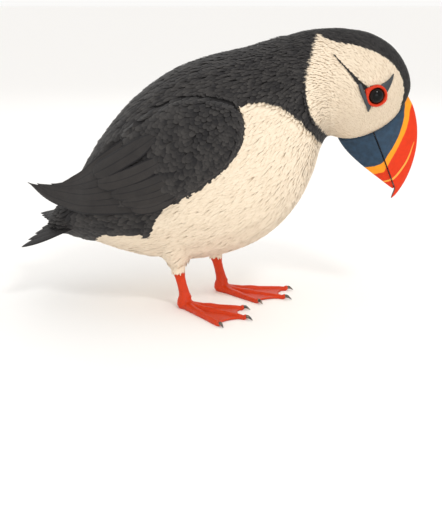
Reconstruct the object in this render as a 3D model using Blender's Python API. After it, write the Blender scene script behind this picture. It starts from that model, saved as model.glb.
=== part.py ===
"""Atlantic puffin, life size, standing with its head bowed: a still model divided into its main parts.

Metres, +Z up. The bird faces +X and its left side is +Y. The origin is on the floor, under the middle of its box.
The outer surfaces are those of the plumage. The trunk and neck are one loft and the head another; they are joined,
then parted with thin cuts. Wings, tail and thighs are shaped on the body and cut back from it by a thin gap.
"""

import math

import bmesh
import bpy
import numpy as np
from mathutils import Matrix, Vector
from mathutils.bvhtree import BVHTree

GAP = 0.0004  # between neighbouring solids
LEFT, RIGHT = 1, -1  # the sides, as signs of Y
SIDES = {"left": LEFT, "right": RIGHT}

# Trunk and neck: outline pairs in the plane of symmetry, from the rump to the throat.
# (top x, top z, bottom x, bottom z, half width)
BODY_PAIRS = (
    (-0.0910, 0.0470, -0.0910, 0.0470, 0.000),
    (-0.0870, 0.0545, -0.0865, 0.0400, 0.0125),
    (-0.0800, 0.0680, -0.0775, 0.0362, 0.0208),
    (-0.0722, 0.0820, -0.0665, 0.0342, 0.0292),
    (-0.0602, 0.1007, -0.0498, 0.0290, 0.0378),
    (-0.0430, 0.1200, -0.0280, 0.0250, 0.0445),
    (-0.0210, 0.1355, -0.0030, 0.0255, 0.0480),
    (0.0010, 0.1435, 0.0210, 0.0325, 0.0480),
    (0.0200, 0.1480, 0.0390, 0.0440, 0.0445),
    (0.0360, 0.1528, 0.0520, 0.0600, 0.0390),
    (0.0520, 0.1573, 0.0600, 0.0775, 0.0325),
    (0.0660, 0.1588, 0.0635, 0.0915, 0.0265),
    (0.0780, 0.1560, 0.0710, 0.1050, 0.0190),
    (0.0820, 0.1298, 0.0820, 0.1298, 0.000),
)
BODY_SIDES, BODY_STEPS = 24, 3

# Head: lofted along the bill's direction. (forward, top, bottom, half width) from the middle of the skull.
HEAD_SCALE = 1.04
HEAD_MIDDLE = Vector((0.0812, 0.0, 0.1281))
HEAD_PITCH = math.radians(64)  # how far the bill points below level
HEAD_ROWS = (
    (-0.0280, 0.000, -0.002, 0.000),
    (-0.0255, 0.0110, -0.0130, 0.0125),
    (-0.0190, 0.0195, -0.0215, 0.0190),
    (-0.0100, 0.0255, -0.0270, 0.0232),
    (0.0000, 0.0280, -0.0290, 0.0242),
    (0.0090, 0.0277, -0.0285, 0.0230),
    (0.0160, 0.0255, -0.0262, 0.0198),
    (0.0220, 0.0228, -0.0235, 0.0160),
    (0.0270, 0.0195, -0.0205, 0.0125),
    (0.0300, 0.0000, -0.0020, 0.000),
)
HEAD_SIDES, HEAD_STEPS = 24, 2
# The feathers end at the bill's base along an arc, which is a cylinder across the head.
FACE_EDGE = (-0.0115, -0.0029)  # forward and up of the arc's middle
FACE_EDGE_RADIUS = 0.039

# The neck lies between two cuts. Each is a point in the plane of symmetry and a pitch of the cut's normal.
NECK_CUT = (0.036, 0.110, math.radians(34))
HEAD_CUT = (0.0615, 0.126, math.radians(8))

# Bill rows: (forward, ridge height, half width at the mouth line). The mouth line falls from the gape to the tip.
UPPER_ROWS = (
    (0.0160, 0.0214, 0.0092),
    (0.0240, 0.0220, 0.0090),
    (0.0320, 0.0207, 0.0084),
    (0.0395, 0.0180, 0.0076),
    (0.0465, 0.0142, 0.0066),
    (0.0530, 0.0092, 0.0052),
    (0.0585, 0.0036, 0.0036),
    (0.0625, -0.0020, 0.0022),
    (0.0648, -0.0064, 0.0010),
)
LOWER_ROWS = (
    (0.0170, -0.0208, 0.0080),
    (0.0240, -0.0212, 0.0079),
    (0.0310, -0.0200, 0.0074),
    (0.0380, -0.0175, 0.0065),
    (0.0450, -0.0143, 0.0053),
    (0.0520, -0.0107, 0.0038),
    (0.0580, -0.0076, 0.0022),
    (0.0608, -0.0060, 0.0011),
)
MOUTH_GAPE, MOUTH_DROP, MOUTH_TIP = -0.0022, 0.0026, 0.0610
RIDGE_HALF_WIDTH = 0.0013

# Eyes, in the head's frame.
EYE_RADIUS = 0.0056
EYE_BULGE = 0.0016  # how far the eye stands out of the plumage
EYE_PLACE = (0.0090, 0.0065)  # forward and up, where it shows

# Folded wings: outline pairs seen from the side, from the wrist to the tip of the primaries.
# (top x, top z, bottom x, bottom z, how far out the blade lies where the body is out of reach)
WING_PAIRS = (
    (0.0225, 0.1075, 0.0225, 0.1075, 0.000),
    (0.0200, 0.1157, 0.0208, 0.0985, 0.000),
    (0.0120, 0.1212, 0.0135, 0.0870, 0.000),
    (-0.0030, 0.1232, -0.0010, 0.0752, 0.000),
    (-0.0200, 0.1198, -0.0190, 0.0650, 0.020),
    (-0.0370, 0.1098, -0.0380, 0.0600, 0.029),
    (-0.0540, 0.0948, -0.0560, 0.0580, 0.030),
    (-0.0690, 0.0815, -0.0710, 0.0573, 0.026),
    (-0.0830, 0.0738, -0.0845, 0.0590, 0.020),
    (-0.0945, 0.0715, -0.0955, 0.0630, 0.014),
    (-0.1055, 0.0708, -0.1055, 0.0693, 0.009),
)
WING_STEPS, WING_ARC = 3, 9
# The left wing's blade is folded lower than the right's: (distance back, how much lower).
LEFT_WING_DROP = ((0.0350, 0.0), (0.0500, 0.0025), (0.0700, 0.0065), (0.0900, 0.0070), (0.1055, 0.0055))
WING_THICKNESS = 0.0062
BLADE_INNER = 0.0012  # how far the blade reaches inwards of its middle surface
WING_EMBEDDED = 0.010  # the depth of the loft inside the body, which is cut away
WING_CUT = (-0.0630, 0.0700, math.radians(-28))
BLADE_POWER = 8  # how sharply the wing's surface passes from body to blade

# Tail: a shallow arched fan.
TAIL_ROOT = Vector((-0.0500, 0.0, 0.0560))
TAIL_PITCH = math.radians(14)
TAIL_SPREAD = math.radians(27)
TAIL_START, TAIL_LENGTH = 0.026, 0.0480
TAIL_FEATHERS = 8
TAIL_NOTCH = 0.0030
TAIL_FORK = 0.0165  # how much longer the outer feathers are
TAIL_ARCH = 1.5  # drop per metre of the square of the distance from the middle
TAIL_ROLL = math.radians(10)  # the fan leans over, with its right edge lower
TAIL_THICK_ROOT, TAIL_THICK_TIP = 0.0060, 0.0016

# Legs, from the hip down. Each side: (foot x, foot turn outwards).
STANCE = {"left": (0.0050, math.radians(-19)), "right": (-0.0130, math.radians(29))}
LEG_ASIDE = 0.0185
HIP_LIFT, HIP_BACK, HIP_RADIUS = 0.046, 0.006, 0.0190
ANKLE_HEIGHT, ANKLE_BACK = 0.0225, 0.0040
THIGH_END_RADIUS = 0.0052
SHANK_HALF = (0.0027, 0.0021)  # fore and aft, and across
SHANK_TOP, SHANK_BOTTOM = 0.0275, 0.0070
FOOT_TOP = SHANK_BOTTOM - GAP

# Toes: (name, turn from the foot's line outwards, length, claw length).
TOES = (
    ("inner", math.radians(-27), 0.0330, 0.0043),
    ("middle", math.radians(-1), 0.0405, 0.0047),
    ("outer", math.radians(26), 0.0390, 0.0042),
)
TOE_HALF_WIDTH, TOE_HEIGHT = 0.0025, 0.0040
TOE_TIP_SHARE = 0.62  # thickness at the toe's end over that at its root
WEB_BOTTOM, WEB_TOP = 0.0003, 0.0013
WEB_NOTCH = 0.08  # how deep the web's edge curves in, over its length

COLOURS = {
    "black": (0.030, 0.029, 0.030, 1),
    "white": (0.870, 0.790, 0.660, 1),
    "bill": (0.830, 0.110, 0.030, 1),
    "eye": (0.012, 0.009, 0.009, 1),
    "leg": (0.880, 0.120, 0.020, 1),
    "claw": (0.045, 0.038, 0.035, 1),
}
ROUGHNESS = {"black": 0.7, "white": 0.8, "bill": 0.35, "eye": 0.05, "leg": 0.5, "claw": 0.35}


def material(name):
    """A named plain surface."""
    found = bpy.data.materials.get(name)
    if found:
        return found
    made = bpy.data.materials.new(name)
    made.use_nodes = True
    shader = made.node_tree.nodes["Principled BSDF"]
    shader.inputs["Base Color"].default_value = COLOURS[name]
    shader.inputs["Roughness"].default_value = ROUGHNESS[name]
    return made


def node_of(name, points, faces, colour):
    """An object with one closed mesh, its faces turned outwards."""
    mesh = bpy.data.meshes.new(name)
    mesh.from_pydata([tuple(p) for p in points], [], faces)
    work = bmesh.new()
    work.from_mesh(mesh)
    bmesh.ops.recalc_face_normals(work, faces=work.faces)
    work.to_mesh(mesh)
    work.free()
    mesh.shade_smooth()
    mesh.materials.append(material(colour))
    made = bpy.data.objects.new(name, mesh)
    bpy.context.scene.collection.objects.link(made)
    return made


def spline_rows(rows, steps):
    """Rows of numbers passed through by a Catmull-Rom curve, with this many steps between neighbours."""
    rows = np.array(rows, float)
    padded = np.vstack((2 * rows[0] - rows[1], rows, 2 * rows[-1] - rows[-2]))
    found = []
    for a, b, c, d in zip(padded, padded[1:], padded[2:], padded[3:]):
        for t in np.arange(steps) / steps:
            found.append(0.5 * (2 * b + (c - a) * t + (2 * a - 5 * b + 4 * c - d) * t**2
                                + (3 * b - a - 3 * c + d) * t**3))
    found.append(rows[-1])
    return np.array(found)


def ring_solid(name, rings, colour, first=None, last=None):
    """Rings of equally many points joined into one closed body, each end closed by a point or by a flat cap."""
    count = len(rings[0])
    points = [p for ring in rings for p in ring]
    faces = []
    for i in range(len(rings) - 1):
        for j in range(count):
            k = (j + 1) % count
            faces.append((i * count + j, i * count + k, (i + 1) * count + k, (i + 1) * count + j))
    for end, start in ((first, 0), (last, (len(rings) - 1) * count)):
        if end is None:
            faces.append(tuple(range(start, start + count)))
            continue
        points.append(end)
        faces += [(start + j, start + (j + 1) % count, len(points) - 1) for j in range(count)]
    return node_of(name, points, faces, colour)


def body_loft(name, grow=0.0):
    """Trunk and neck in one, each ring an ellipse between a pair of outline points."""
    rows = spline_rows(BODY_PAIRS, BODY_STEPS)
    rings = []
    for top_x, top_z, low_x, low_z, half_width in rows[1:-1]:
        middle = Vector(((top_x + low_x) / 2, 0, (top_z + low_z) / 2))
        rise = Vector(((top_x - low_x) / 2, 0, (top_z - low_z) / 2))
        rise *= 1 + grow / rise.length
        turns = [2 * math.pi * j / BODY_SIDES for j in range(BODY_SIDES)]
        rings.append([middle + rise * math.cos(a) + Vector((0, (half_width + grow) * math.sin(a), 0))
                      for a in turns])
    back, front = (Vector((rows[i][0], 0, rows[i][1])) for i in (0, -1))
    back.x -= grow
    return ring_solid(name, rings, "black", back, front)


def head_frame():
    """The head's own axes in the world: x forward along the bill, y to the left, z up through the crown."""
    turn = Matrix.Rotation(HEAD_PITCH, 4, "Y")
    return Matrix.Translation(HEAD_MIDDLE) @ turn @ Matrix.Scale(HEAD_SCALE, 4)


def in_head(forward, aside, up):
    return head_frame() @ Vector((forward, aside, up))


def head_loft(name):
    """Skull and face, lofted from the nape to the base of the bill."""
    rows = spline_rows(HEAD_ROWS, HEAD_STEPS)
    rings = []
    for forward, top, low, half_width in rows[1:-1]:
        middle, rise = (top + low) / 2, (top - low) / 2
        turns = [2 * math.pi * j / HEAD_SIDES for j in range(HEAD_SIDES)]
        rings.append([in_head(forward, half_width * math.sin(a), middle + rise * math.cos(a)) for a in turns])
    ends = [in_head(rows[i][0], 0, (rows[i][1] + rows[i][2]) / 2) for i in (0, -1)]
    return ring_solid(name, rings, "white", *ends)


def flattened(target):
    """The object with its modifiers made permanent."""
    bpy.context.view_layer.update()
    graph = bpy.context.evaluated_depsgraph_get()
    mesh = bpy.data.meshes.new_from_object(target.evaluated_get(graph), depsgraph=graph)
    old = target.data
    target.modifiers.clear()
    target.data = mesh
    bpy.data.meshes.remove(old)
    mesh.name = target.name
    return target


def combined(target, other, operation):
    """The target joined with, cut by or kept inside the other, whose object is then removed."""
    step = target.modifiers.new(operation.lower(), "BOOLEAN")
    step.operation = operation
    step.solver = "EXACT"
    step.object = other
    flattened(target)
    bpy.data.objects.remove(other)
    return target


def copy_of(source, name):
    made = source.copy()
    made.data = source.data.copy()
    made.name = name
    bpy.context.scene.collection.objects.link(made)
    return made


def half_space(cut, side):
    """A large box on one side of a cut plane, half a gap away from it."""
    x, z, pitch = cut
    size = 0.6
    work = bmesh.new()
    bmesh.ops.create_cube(work, size=size)
    place = Matrix.Translation((x, 0, z)) @ Matrix.Rotation(-pitch, 4, "Y")
    shift = Matrix.Translation((side * (size + GAP) / 2, 0, 0))
    bmesh.ops.transform(work, matrix=place @ shift, verts=work.verts)
    mesh = bpy.data.meshes.new("half_space")
    work.to_mesh(mesh)
    work.free()
    made = bpy.data.objects.new("half_space", mesh)
    bpy.context.scene.collection.objects.link(made)
    return made


def kept_beyond(target, cut, side):
    return combined(target, half_space(cut, side), "INTERSECT")


def ball(name, middle, radius, colour, columns=18, rows=10):
    work = bmesh.new()
    bmesh.ops.create_uvsphere(work, u_segments=columns, v_segments=rows, radius=radius)
    # The poles face sideways, where the ball shows.
    turn = Matrix.Translation(middle) @ Matrix.Rotation(math.pi / 2, 4, "X")
    bmesh.ops.transform(work, matrix=turn, verts=work.verts)
    mesh = bpy.data.meshes.new(name)
    work.to_mesh(mesh)
    work.free()
    mesh.shade_smooth()
    mesh.materials.append(material(colour))
    made = bpy.data.objects.new(name, mesh)
    bpy.context.scene.collection.objects.link(made)
    return made


def face_edge_cylinder(radius):
    """Across the head: what lies inside it is feathered face, and what lies outside is bill."""
    work = bmesh.new()
    bmesh.ops.create_cone(work, cap_ends=True, segments=60, radius1=radius, radius2=radius, depth=0.12)
    forward, up = FACE_EDGE
    place = head_frame() @ Matrix.Translation((forward, 0, up)) @ Matrix.Rotation(math.pi / 2, 4, "X")
    bmesh.ops.transform(work, matrix=place, verts=work.verts)
    mesh = bpy.data.meshes.new("face_edge")
    work.to_mesh(mesh)
    work.free()
    made = bpy.data.objects.new("face_edge", mesh)
    bpy.context.scene.collection.objects.link(made)
    return made


def surface_tree(source):
    bpy.context.view_layer.update()
    return BVHTree.FromObject(source, bpy.context.evaluated_depsgraph_get())


def eye_middle(tree, sign):
    """The eyeball's centre, straight under the place where its dome shows on the side of the head."""
    forward, up = EYE_PLACE
    outside, inwards = in_head(forward, sign * 0.1, up), Vector((0, -sign, 0))
    place, normal = tree.ray_cast(outside, inwards)[:2]
    if normal.y * sign < 0:
        normal = -normal
    return place - normal * (EYE_RADIUS - EYE_BULGE)


def build_body():
    """Trunk, neck and head, as one surface parted by two thin cuts, and the eyes in their sockets."""
    head = head_loft("head_whole")
    eyes = {side: eye_middle(surface_tree(head), sign) for side, sign in SIDES.items()}
    combined(head, face_edge_cylinder(FACE_EDGE_RADIUS), "INTERSECT")
    whole = combined(body_loft("whole"), head, "UNION")
    kept_beyond(copy_of(whole, "trunk"), NECK_CUT, -1)
    neck = kept_beyond(copy_of(whole, "neck"), NECK_CUT, 1)
    kept_beyond(neck, HEAD_CUT, -1)
    head = kept_beyond(copy_of(whole, "head"), HEAD_CUT, 1)
    kept_beyond(head, NECK_CUT, 1)
    bpy.data.objects.remove(whole)
    for side, middle in eyes.items():
        combined(head, ball("socket", middle, EYE_RADIUS + GAP, "white"), "DIFFERENCE")
        ball("eye_" + side, middle, EYE_RADIUS, "eye")


def mouth_line(forward):
    """Height of the closed mouth's line in the head's frame, sinking towards the tip."""
    share = max(0.0, forward / MOUTH_TIP)
    return MOUTH_GAPE - MOUTH_DROP * share**2


def mandible(name, rows, upward):
    """One half of the bill: a blade, wide at the mouth line and narrow at its ridge."""
    sections = spline_rows(rows, 2)
    heights = (0.0, 0.2, 0.45, 0.7, 0.9)
    rings = []
    for forward, ridge, width in sections:
        base = mouth_line(forward) + upward * GAP / 2
        narrow = min(RIDGE_HALF_WIDTH, width)
        side = [(narrow + (width - narrow) * (1 - h**1.7), base + (ridge - base) * h) for h in heights]
        side.append((narrow * 0.7, ridge - 0.02 * (ridge - base)))
        outline = side + [(0.0, ridge)] + [(-y, z) for y, z in reversed(side)]
        rings.append([in_head(forward, y, z) for y, z in outline])
    made = ring_solid(name, rings, "bill")
    return combined(made, face_edge_cylinder(FACE_EDGE_RADIUS + GAP), "DIFFERENCE")


def body_reach(tree, x, z):
    """How far out the body's side is at this place in side view, or 0 where it isn't reached."""
    hit = tree.ray_cast(Vector((x, RIGHT * 0.3, z)), Vector((0, -RIGHT, 0)))[0]
    return abs(hit.y) if hit else 0.0


def wing_loft(name, tree, pairs):
    """A folded wing: its outer surface follows the body's side and passes into a free blade at the rear."""
    rows = spline_rows(pairs, WING_STEPS)
    rings = []
    for top_x, top_z, low_x, low_z, blade in rows[1:-1]:
        outer, inner = [], []
        for i in range(WING_ARC):
            # From the lower edge (-1) to the upper (1), closer together at the edges.
            v = math.sin(math.pi * (i / (WING_ARC - 1) - 0.5))
            x = (top_x + low_x) / 2 + v * (top_x - low_x) / 2
            z = (top_z + low_z) / 2 + v * (top_z - low_z) / 2
            body = body_reach(tree, x, z)
            base = (body**BLADE_POWER + blade**BLADE_POWER) ** (1 / BLADE_POWER)
            edge = (1 - v * v) ** 0.35
            share = min(1.0, (top_z - low_z) / 0.030)
            outer.append(Vector((x, RIGHT * (base + 0.0006 + WING_THICKNESS * edge * share**0.6), z)))
            depth = WING_EMBEDDED if body > blade else BLADE_INNER
            inner.append(Vector((x, RIGHT * max(base - depth, 0.004), z)))
        rings.append(outer + inner[::-1])
    ends = []
    for x, z, blade in ((rows[0][0], rows[0][1], 0.0), (rows[-1][0], rows[-1][1], rows[-1][4])):
        base = max(body_reach(tree, x, z), blade)
        ends.append(Vector((x, RIGHT * base, z)))
    return ring_solid(name, rings, "black", *ends)


def mirrored(source, name):
    """A copy across the plane of symmetry, its faces still turned outwards."""
    made = copy_of(source, name)
    made.data.transform(Matrix.Scale(-1, 4, Vector((0, 1, 0))))
    made.data.flip_normals()
    return made


def drop_at(x):
    """How much lower the left wing lies than the right at this place along the body."""
    back, drop = LEFT_WING_DROP[0]
    if -x <= back:
        return drop
    for further, lower in LEFT_WING_DROP[1:]:
        if -x <= further:
            return drop + (lower - drop) * (-x - back) / (further - back)
        back, drop = further, lower
    return drop


def build_wings(tree):
    """Two wings, each parted into its shoulder and its primaries. The left is made on the right and mirrored."""
    lowered = [(tx, tz - drop_at(tx), lx, lz - drop_at(lx), blade) for tx, tz, lx, lz, blade in WING_PAIRS]
    for side, pairs in (("right", WING_PAIRS), ("left", lowered)):
        whole = combined(wing_loft("whole", tree, pairs), body_loft("space", 1.6 * GAP), "DIFFERENCE")
        for part, keep in (("wing_", 1), ("primaries_", -1)):
            if side == "right":
                kept_beyond(copy_of(whole, part + side), WING_CUT, keep)
            else:
                piece = kept_beyond(copy_of(whole, "piece"), WING_CUT, keep)
                mirrored(piece, part + side)
                bpy.data.objects.remove(piece)
        bpy.data.objects.remove(whole)


def tail_point(turn, reach, thickness):
    """A point of the fan, at this turn from its middle and this far from its root."""
    x, y = reach * math.cos(turn), reach * math.sin(turn)
    place = Matrix.Translation(TAIL_ROOT) @ Matrix.Rotation(math.pi, 4, "Z") @ Matrix.Rotation(TAIL_PITCH, 4, "Y")
    place = place @ Matrix.Rotation(-TAIL_ROLL, 4, "X")
    return place @ Vector((x, y, thickness - TAIL_ARCH * y * y))


def build_tail():
    """A fan of feathers with rounded ends, thick at the root and thin at the tips."""
    across, along = TAIL_FEATHERS * 4, 4
    rings = []
    for j in range(across + 1):
        share = 2 * j / across - 1
        notch = TAIL_NOTCH * (1 - abs(math.sin(math.pi * TAIL_FEATHERS * j / across))) ** 2
        end = TAIL_LENGTH - notch + TAIL_FORK * abs(share) ** 1.4
        reaches = [TAIL_START + (end - TAIL_START) * i / along for i in range(along + 1)]
        halves = [(TAIL_THICK_ROOT + (TAIL_THICK_TIP - TAIL_THICK_ROOT) * i / along) / 2 for i in range(along + 1)]
        thin = 1 - 0.5 * share**2
        turn = share * TAIL_SPREAD
        over = [tail_point(turn, r, h * thin) for r, h in zip(reaches, halves)]
        under = [tail_point(turn, r, -h * thin) for r, h in zip(reaches, halves)]
        rings.append(over + under[::-1])
    tail = ring_solid("tail", rings, "black")
    combined(tail, body_loft("space", 1.6 * GAP), "DIFFERENCE")


def round_ring(middle, along, radius, flattening=1.0, count=14):
    """A ring round a line, flattened across it."""
    along = along.normalized()
    side = Vector((0, 1, 0))
    front = side.cross(along).normalized()
    side = along.cross(front)
    turns = [2 * math.pi * j / count for j in range(count)]
    return [middle + front * radius * math.cos(a) + side * radius * flattening * math.sin(a) for a in turns]


def build_thigh(side, sign, foot_x):
    """The feathered thigh, a cone that narrows from the belly to the ankle."""
    hip = Vector((foot_x - HIP_BACK, sign * LEG_ASIDE, HIP_LIFT))
    ankle = Vector((foot_x - ANKLE_BACK, sign * LEG_ASIDE, ANKLE_HEIGHT))
    rings = []
    for i in range(7):
        share = i / 6
        radius = THIGH_END_RADIUS + (HIP_RADIUS - THIGH_END_RADIUS) * (1 - share) ** 1.15
        rings.append(round_ring(hip.lerp(ankle, share), ankle - hip, radius, count=18))
    thigh = ring_solid("thigh_" + side, rings, "white")
    combined(thigh, body_loft("space", 1.6 * GAP), "DIFFERENCE")


def build_shank(side, sign, foot_x):
    """The bare shank, thicker at its ends. Its top stands in the thigh's feathers."""
    fore, across = SHANK_HALF
    rings = []
    for height, swell in ((SHANK_BOTTOM, 1.35), (0.0095, 1.1), (0.0140, 1.0), (0.0185, 1.05), (0.0215, 1.35),
                          (ANKLE_HEIGHT - GAP, 1.4)):
        share = (height - SHANK_BOTTOM) / (ANKLE_HEIGHT - SHANK_BOTTOM)
        middle = Vector((foot_x - ANKLE_BACK * share, sign * LEG_ASIDE, height))
        turns = [2 * math.pi * j / 16 for j in range(16)]
        rings.append([middle + Vector((fore * swell * math.cos(a), across * swell * math.sin(a), 0)) for a in turns])
    ring_solid("shank_" + side, rings, "leg")


def toe_ring(middle, direction, half_width, height):
    """A section of a toe, round above and flat where it stands on the floor."""
    aside = Vector((-direction.y, direction.x, 0))
    points = []
    for j in range(7):
        a = math.pi * j / 6
        points.append(middle + aside * half_width * math.cos(a) + Vector((0, 0, height * (0.28 + 0.72 * math.sin(a)))))
    points.append(middle - aside * half_width * 0.7)
    points.append(middle + aside * half_width * 0.7)
    return points


def toe_direction(sign, turn):
    return Vector((math.cos(turn), sign * math.sin(turn), 0))


def toe_solid(root, direction, length):
    rings = []
    for share, swell in ((-0.06, 0.8), (0.0, 1.25), (0.18, 1.05), (0.32, 0.95), (0.44, 1.05), (0.58, 0.92),
                         (0.90, 1.0), (1.0, 0.86)):
        size = swell * (1 + (TOE_TIP_SHARE - 1) * max(share, 0))
        rings.append(toe_ring(root + direction * length * share, direction, TOE_HALF_WIDTH * size, TOE_HEIGHT * size))
    return ring_solid("toe", rings, "leg")


def web_solid(root, tips):
    """The webs between the toes, one thin plate whose edge curves in between the tips."""
    edge = [root]
    for a, b in zip(tips, tips[1:]):
        for i in range(6):
            t = i / 6
            control = a.lerp(b, 0.5).lerp(root, WEB_NOTCH * 2)
            edge.append(a * (1 - t) ** 2 + control * 2 * t * (1 - t) + b * t**2)
    edge.append(tips[-1])
    lower = [Vector((p.x, p.y, WEB_BOTTOM)) for p in edge]
    upper = [Vector((p.x, p.y, WEB_TOP)) for p in edge]
    return ring_solid("web", [lower, upper], "leg")


def claw_solid(name, start, direction, length):
    """A curved claw, from its round root to a point that nearly meets the floor."""
    rings = []
    for share, size in ((0.0, 1.0), (0.25, 0.93), (0.5, 0.74), (0.75, 0.46), (0.93, 0.18)):
        bend = math.sin(share * math.pi / 2)
        middle = start + direction * length * share
        middle.z = 0.0017 + 0.0006 * math.sin(share * math.pi) - 0.0013 * bend**3
        aside = Vector((-direction.y, direction.x, 0))
        rings.append([middle + aside * 0.0011 * size * math.cos(a) + Vector((0, 0, 0.0012 * size * math.sin(a)))
                      for a in (2 * math.pi * j / 8 for j in range(8))])
    tip = start + direction * length
    tip.z = 0.0003
    ring_solid(name, rings, "claw", None, tip)


def build_foot(side, sign, foot_x, turn):
    """Three webbed toes and the joint at the foot of the shank, standing flat, with a claw on each toe."""
    root = Vector((foot_x, sign * LEG_ASIDE, 0))
    foot, tips = None, []
    for name, spread, length, claw in TOES:
        direction = toe_direction(sign, turn + spread)
        toe = toe_solid(root, direction, length)
        foot = combined(foot, toe, "UNION") if foot else toe
        tips.append(root + direction * length * 0.97)
        claw_solid(f"claw_{name}_{side}", root + direction * (length + GAP), direction, claw)
    foot.name = "foot_" + side
    combined(foot, web_solid(root, tips), "UNION")
    fore, across = SHANK_HALF
    joint = []
    for height, swell in ((0.0, 1.15), (0.0022, 1.6), (0.0045, 1.55), (FOOT_TOP, 1.35)):
        turns = [2 * math.pi * (j + 0.5) / 16 for j in range(16)]
        joint.append([root + Vector((fore * swell * math.cos(a) - 0.0004, across * swell * math.sin(a), height))
                      for a in turns])
    combined(foot, ring_solid("joint", joint, "leg"), "UNION")


def centre_on_floor():
    """Moves every node so that the middle of the whole box is over the origin and its base at zero."""
    bpy.context.view_layer.update()
    corners = [obj.matrix_world @ Vector(c) for obj in bpy.data.objects for c in obj.bound_box]
    low = Vector([min(c[k] for c in corners) for k in range(3)])
    high = Vector([max(c[k] for c in corners) for k in range(3)])
    middle = (low + high) / 2
    for obj in bpy.data.objects:
        obj.data.transform(Matrix.Translation((-middle.x, -middle.y, -low.z)))


def main():
    for obj in list(bpy.data.objects):
        bpy.data.objects.remove(obj)
    build_body()
    mandible("bill_upper", UPPER_ROWS, 1)
    mandible("bill_lower", LOWER_ROWS, -1)
    guide = body_loft("guide")
    build_wings(surface_tree(guide))
    bpy.data.objects.remove(guide)
    build_tail()
    for side, sign in SIDES.items():
        foot_x, turn = STANCE[side]
        build_thigh(side, sign, foot_x)
        build_shank(side, sign, foot_x)
        build_foot(side, sign, foot_x, turn)
    centre_on_floor()


main()
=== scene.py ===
"""Looks of the atlantic puffin: one skin over the flesh, a coat of solid feathers, bill, eyes, legs and feet.

Everything is in metres in the frame of the CAD model. The head has its own axes: forward along the bill,
aside, and up through the crown. Its numbers, and those of the wing and tail, repeat the CAD model's, which
this script can't read.
"""

import math

import bmesh
import bpy
import numpy as np
from mathutils import Matrix, Vector
from mathutils.bvhtree import BVHTree
from mathutils.kdtree import KDTree


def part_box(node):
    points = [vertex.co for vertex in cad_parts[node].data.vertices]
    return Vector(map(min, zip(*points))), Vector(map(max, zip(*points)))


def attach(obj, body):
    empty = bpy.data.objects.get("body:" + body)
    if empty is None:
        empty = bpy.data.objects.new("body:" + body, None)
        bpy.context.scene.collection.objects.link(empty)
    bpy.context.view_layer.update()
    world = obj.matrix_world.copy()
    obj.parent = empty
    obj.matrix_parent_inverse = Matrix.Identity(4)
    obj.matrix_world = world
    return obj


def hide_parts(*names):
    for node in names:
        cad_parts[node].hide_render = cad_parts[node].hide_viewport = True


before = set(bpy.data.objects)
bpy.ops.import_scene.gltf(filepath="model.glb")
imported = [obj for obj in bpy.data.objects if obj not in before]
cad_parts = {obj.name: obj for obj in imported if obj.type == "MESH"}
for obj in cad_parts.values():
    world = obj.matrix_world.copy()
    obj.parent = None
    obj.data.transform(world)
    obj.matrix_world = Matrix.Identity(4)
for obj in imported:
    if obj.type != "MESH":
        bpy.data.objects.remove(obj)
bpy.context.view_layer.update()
BODY = "root"
MM = 0.001
SIDES = {"left": 1, "right": -1}
RNG = np.random.default_rng(7)

# The CAD model was moved to stand over its origin after it was built. This is how far.
WING_TIP_BUILT = -0.1055
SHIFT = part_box("primaries_right")[0].x - WING_TIP_BUILT

# ---------------------------------------------------------------- the head's own axes
HEAD_PITCH = math.radians(64)
HEAD_SCALE = 1.04
EYE_IN_HEAD = (0.00826, 0.00576)  # forward and up of the eyeball's middle
EYE_MIDDLE = {s: np.array((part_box("eye_" + s)[0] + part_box("eye_" + s)[1]) / 2) for s in SIDES}
EYE_RADIUS = (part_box("eye_left")[1].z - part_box("eye_left")[0].z) / 2
FORWARD = np.array((math.cos(HEAD_PITCH), 0, -math.sin(HEAD_PITCH)))
UPWARD = np.array((math.sin(HEAD_PITCH), 0, math.cos(HEAD_PITCH)))
HEAD_MIDDLE = EYE_MIDDLE["left"] * (1, 0, 1) - HEAD_SCALE * (
    EYE_IN_HEAD[0] * FORWARD + EYE_IN_HEAD[1] * UPWARD)
# The face's feathers end round the bill's base on a circle: its middle and its radius in the head.
FACE_EDGE, FACE_EDGE_RADIUS = (-0.0115, -0.0029), 0.039


def to_head(points):
    """Forward and up of the head's middle, for each point."""
    away = (np.asarray(points) - HEAD_MIDDLE) / HEAD_SCALE
    return away @ FORWARD, away @ UPWARD


def from_head(forward, aside, up):
    """World points of places in the head. The three are numbers or arrays."""
    forward, aside, up = np.broadcast_arrays(forward, aside, up)
    side = np.array((0.0, 1.0, 0.0))
    return HEAD_MIDDLE + HEAD_SCALE * (
        forward[..., None] * FORWARD + aside[..., None] * side + up[..., None] * UPWARD)


def built(points):
    """Points in the plane of symmetry, from x and z in millimetres where the CAD model was built."""
    return np.array(points, float) * MM + np.array((SHIFT, 0))


# ---------------------------------------------------------------- small helpers
def unit(vectors):
    return vectors / np.maximum(np.linalg.norm(vectors, axis=-1, keepdims=True), 1e-12)


def square_to(vectors, axes):
    """The vectors without their parts along the unit axes, made 1 long."""
    return unit(vectors - (vectors * axes).sum(-1, keepdims=True) * axes)


def smoothstep(x, low, high):
    t = np.clip((x - low) / (high - low), 0, 1)
    return t * t * (3 - 2 * t)


def mixed(a, b, share):
    return a + (b - a) * share


def cad(node):
    """The mesh of a CAD node."""
    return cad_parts[node].data


def give_surface(mesh, surface):
    mesh.materials.clear()
    mesh.materials.append(surface)


def object_of(name, mesh, surface=None):
    made = bpy.data.objects.new(name, mesh)
    bpy.context.scene.collection.objects.link(made)
    if surface:
        give_surface(mesh, surface)
    return made


def tie(made, slot, *nodes):
    """Let a piece ride on the bird's body, in place of these CAD nodes. The slot is not used."""
    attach(made, BODY)
    if nodes:
        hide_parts(*nodes)


def place_points(mesh, points):
    mesh.vertices.foreach_set("co", np.ascontiguousarray(points, np.float32).reshape(-1))


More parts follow.
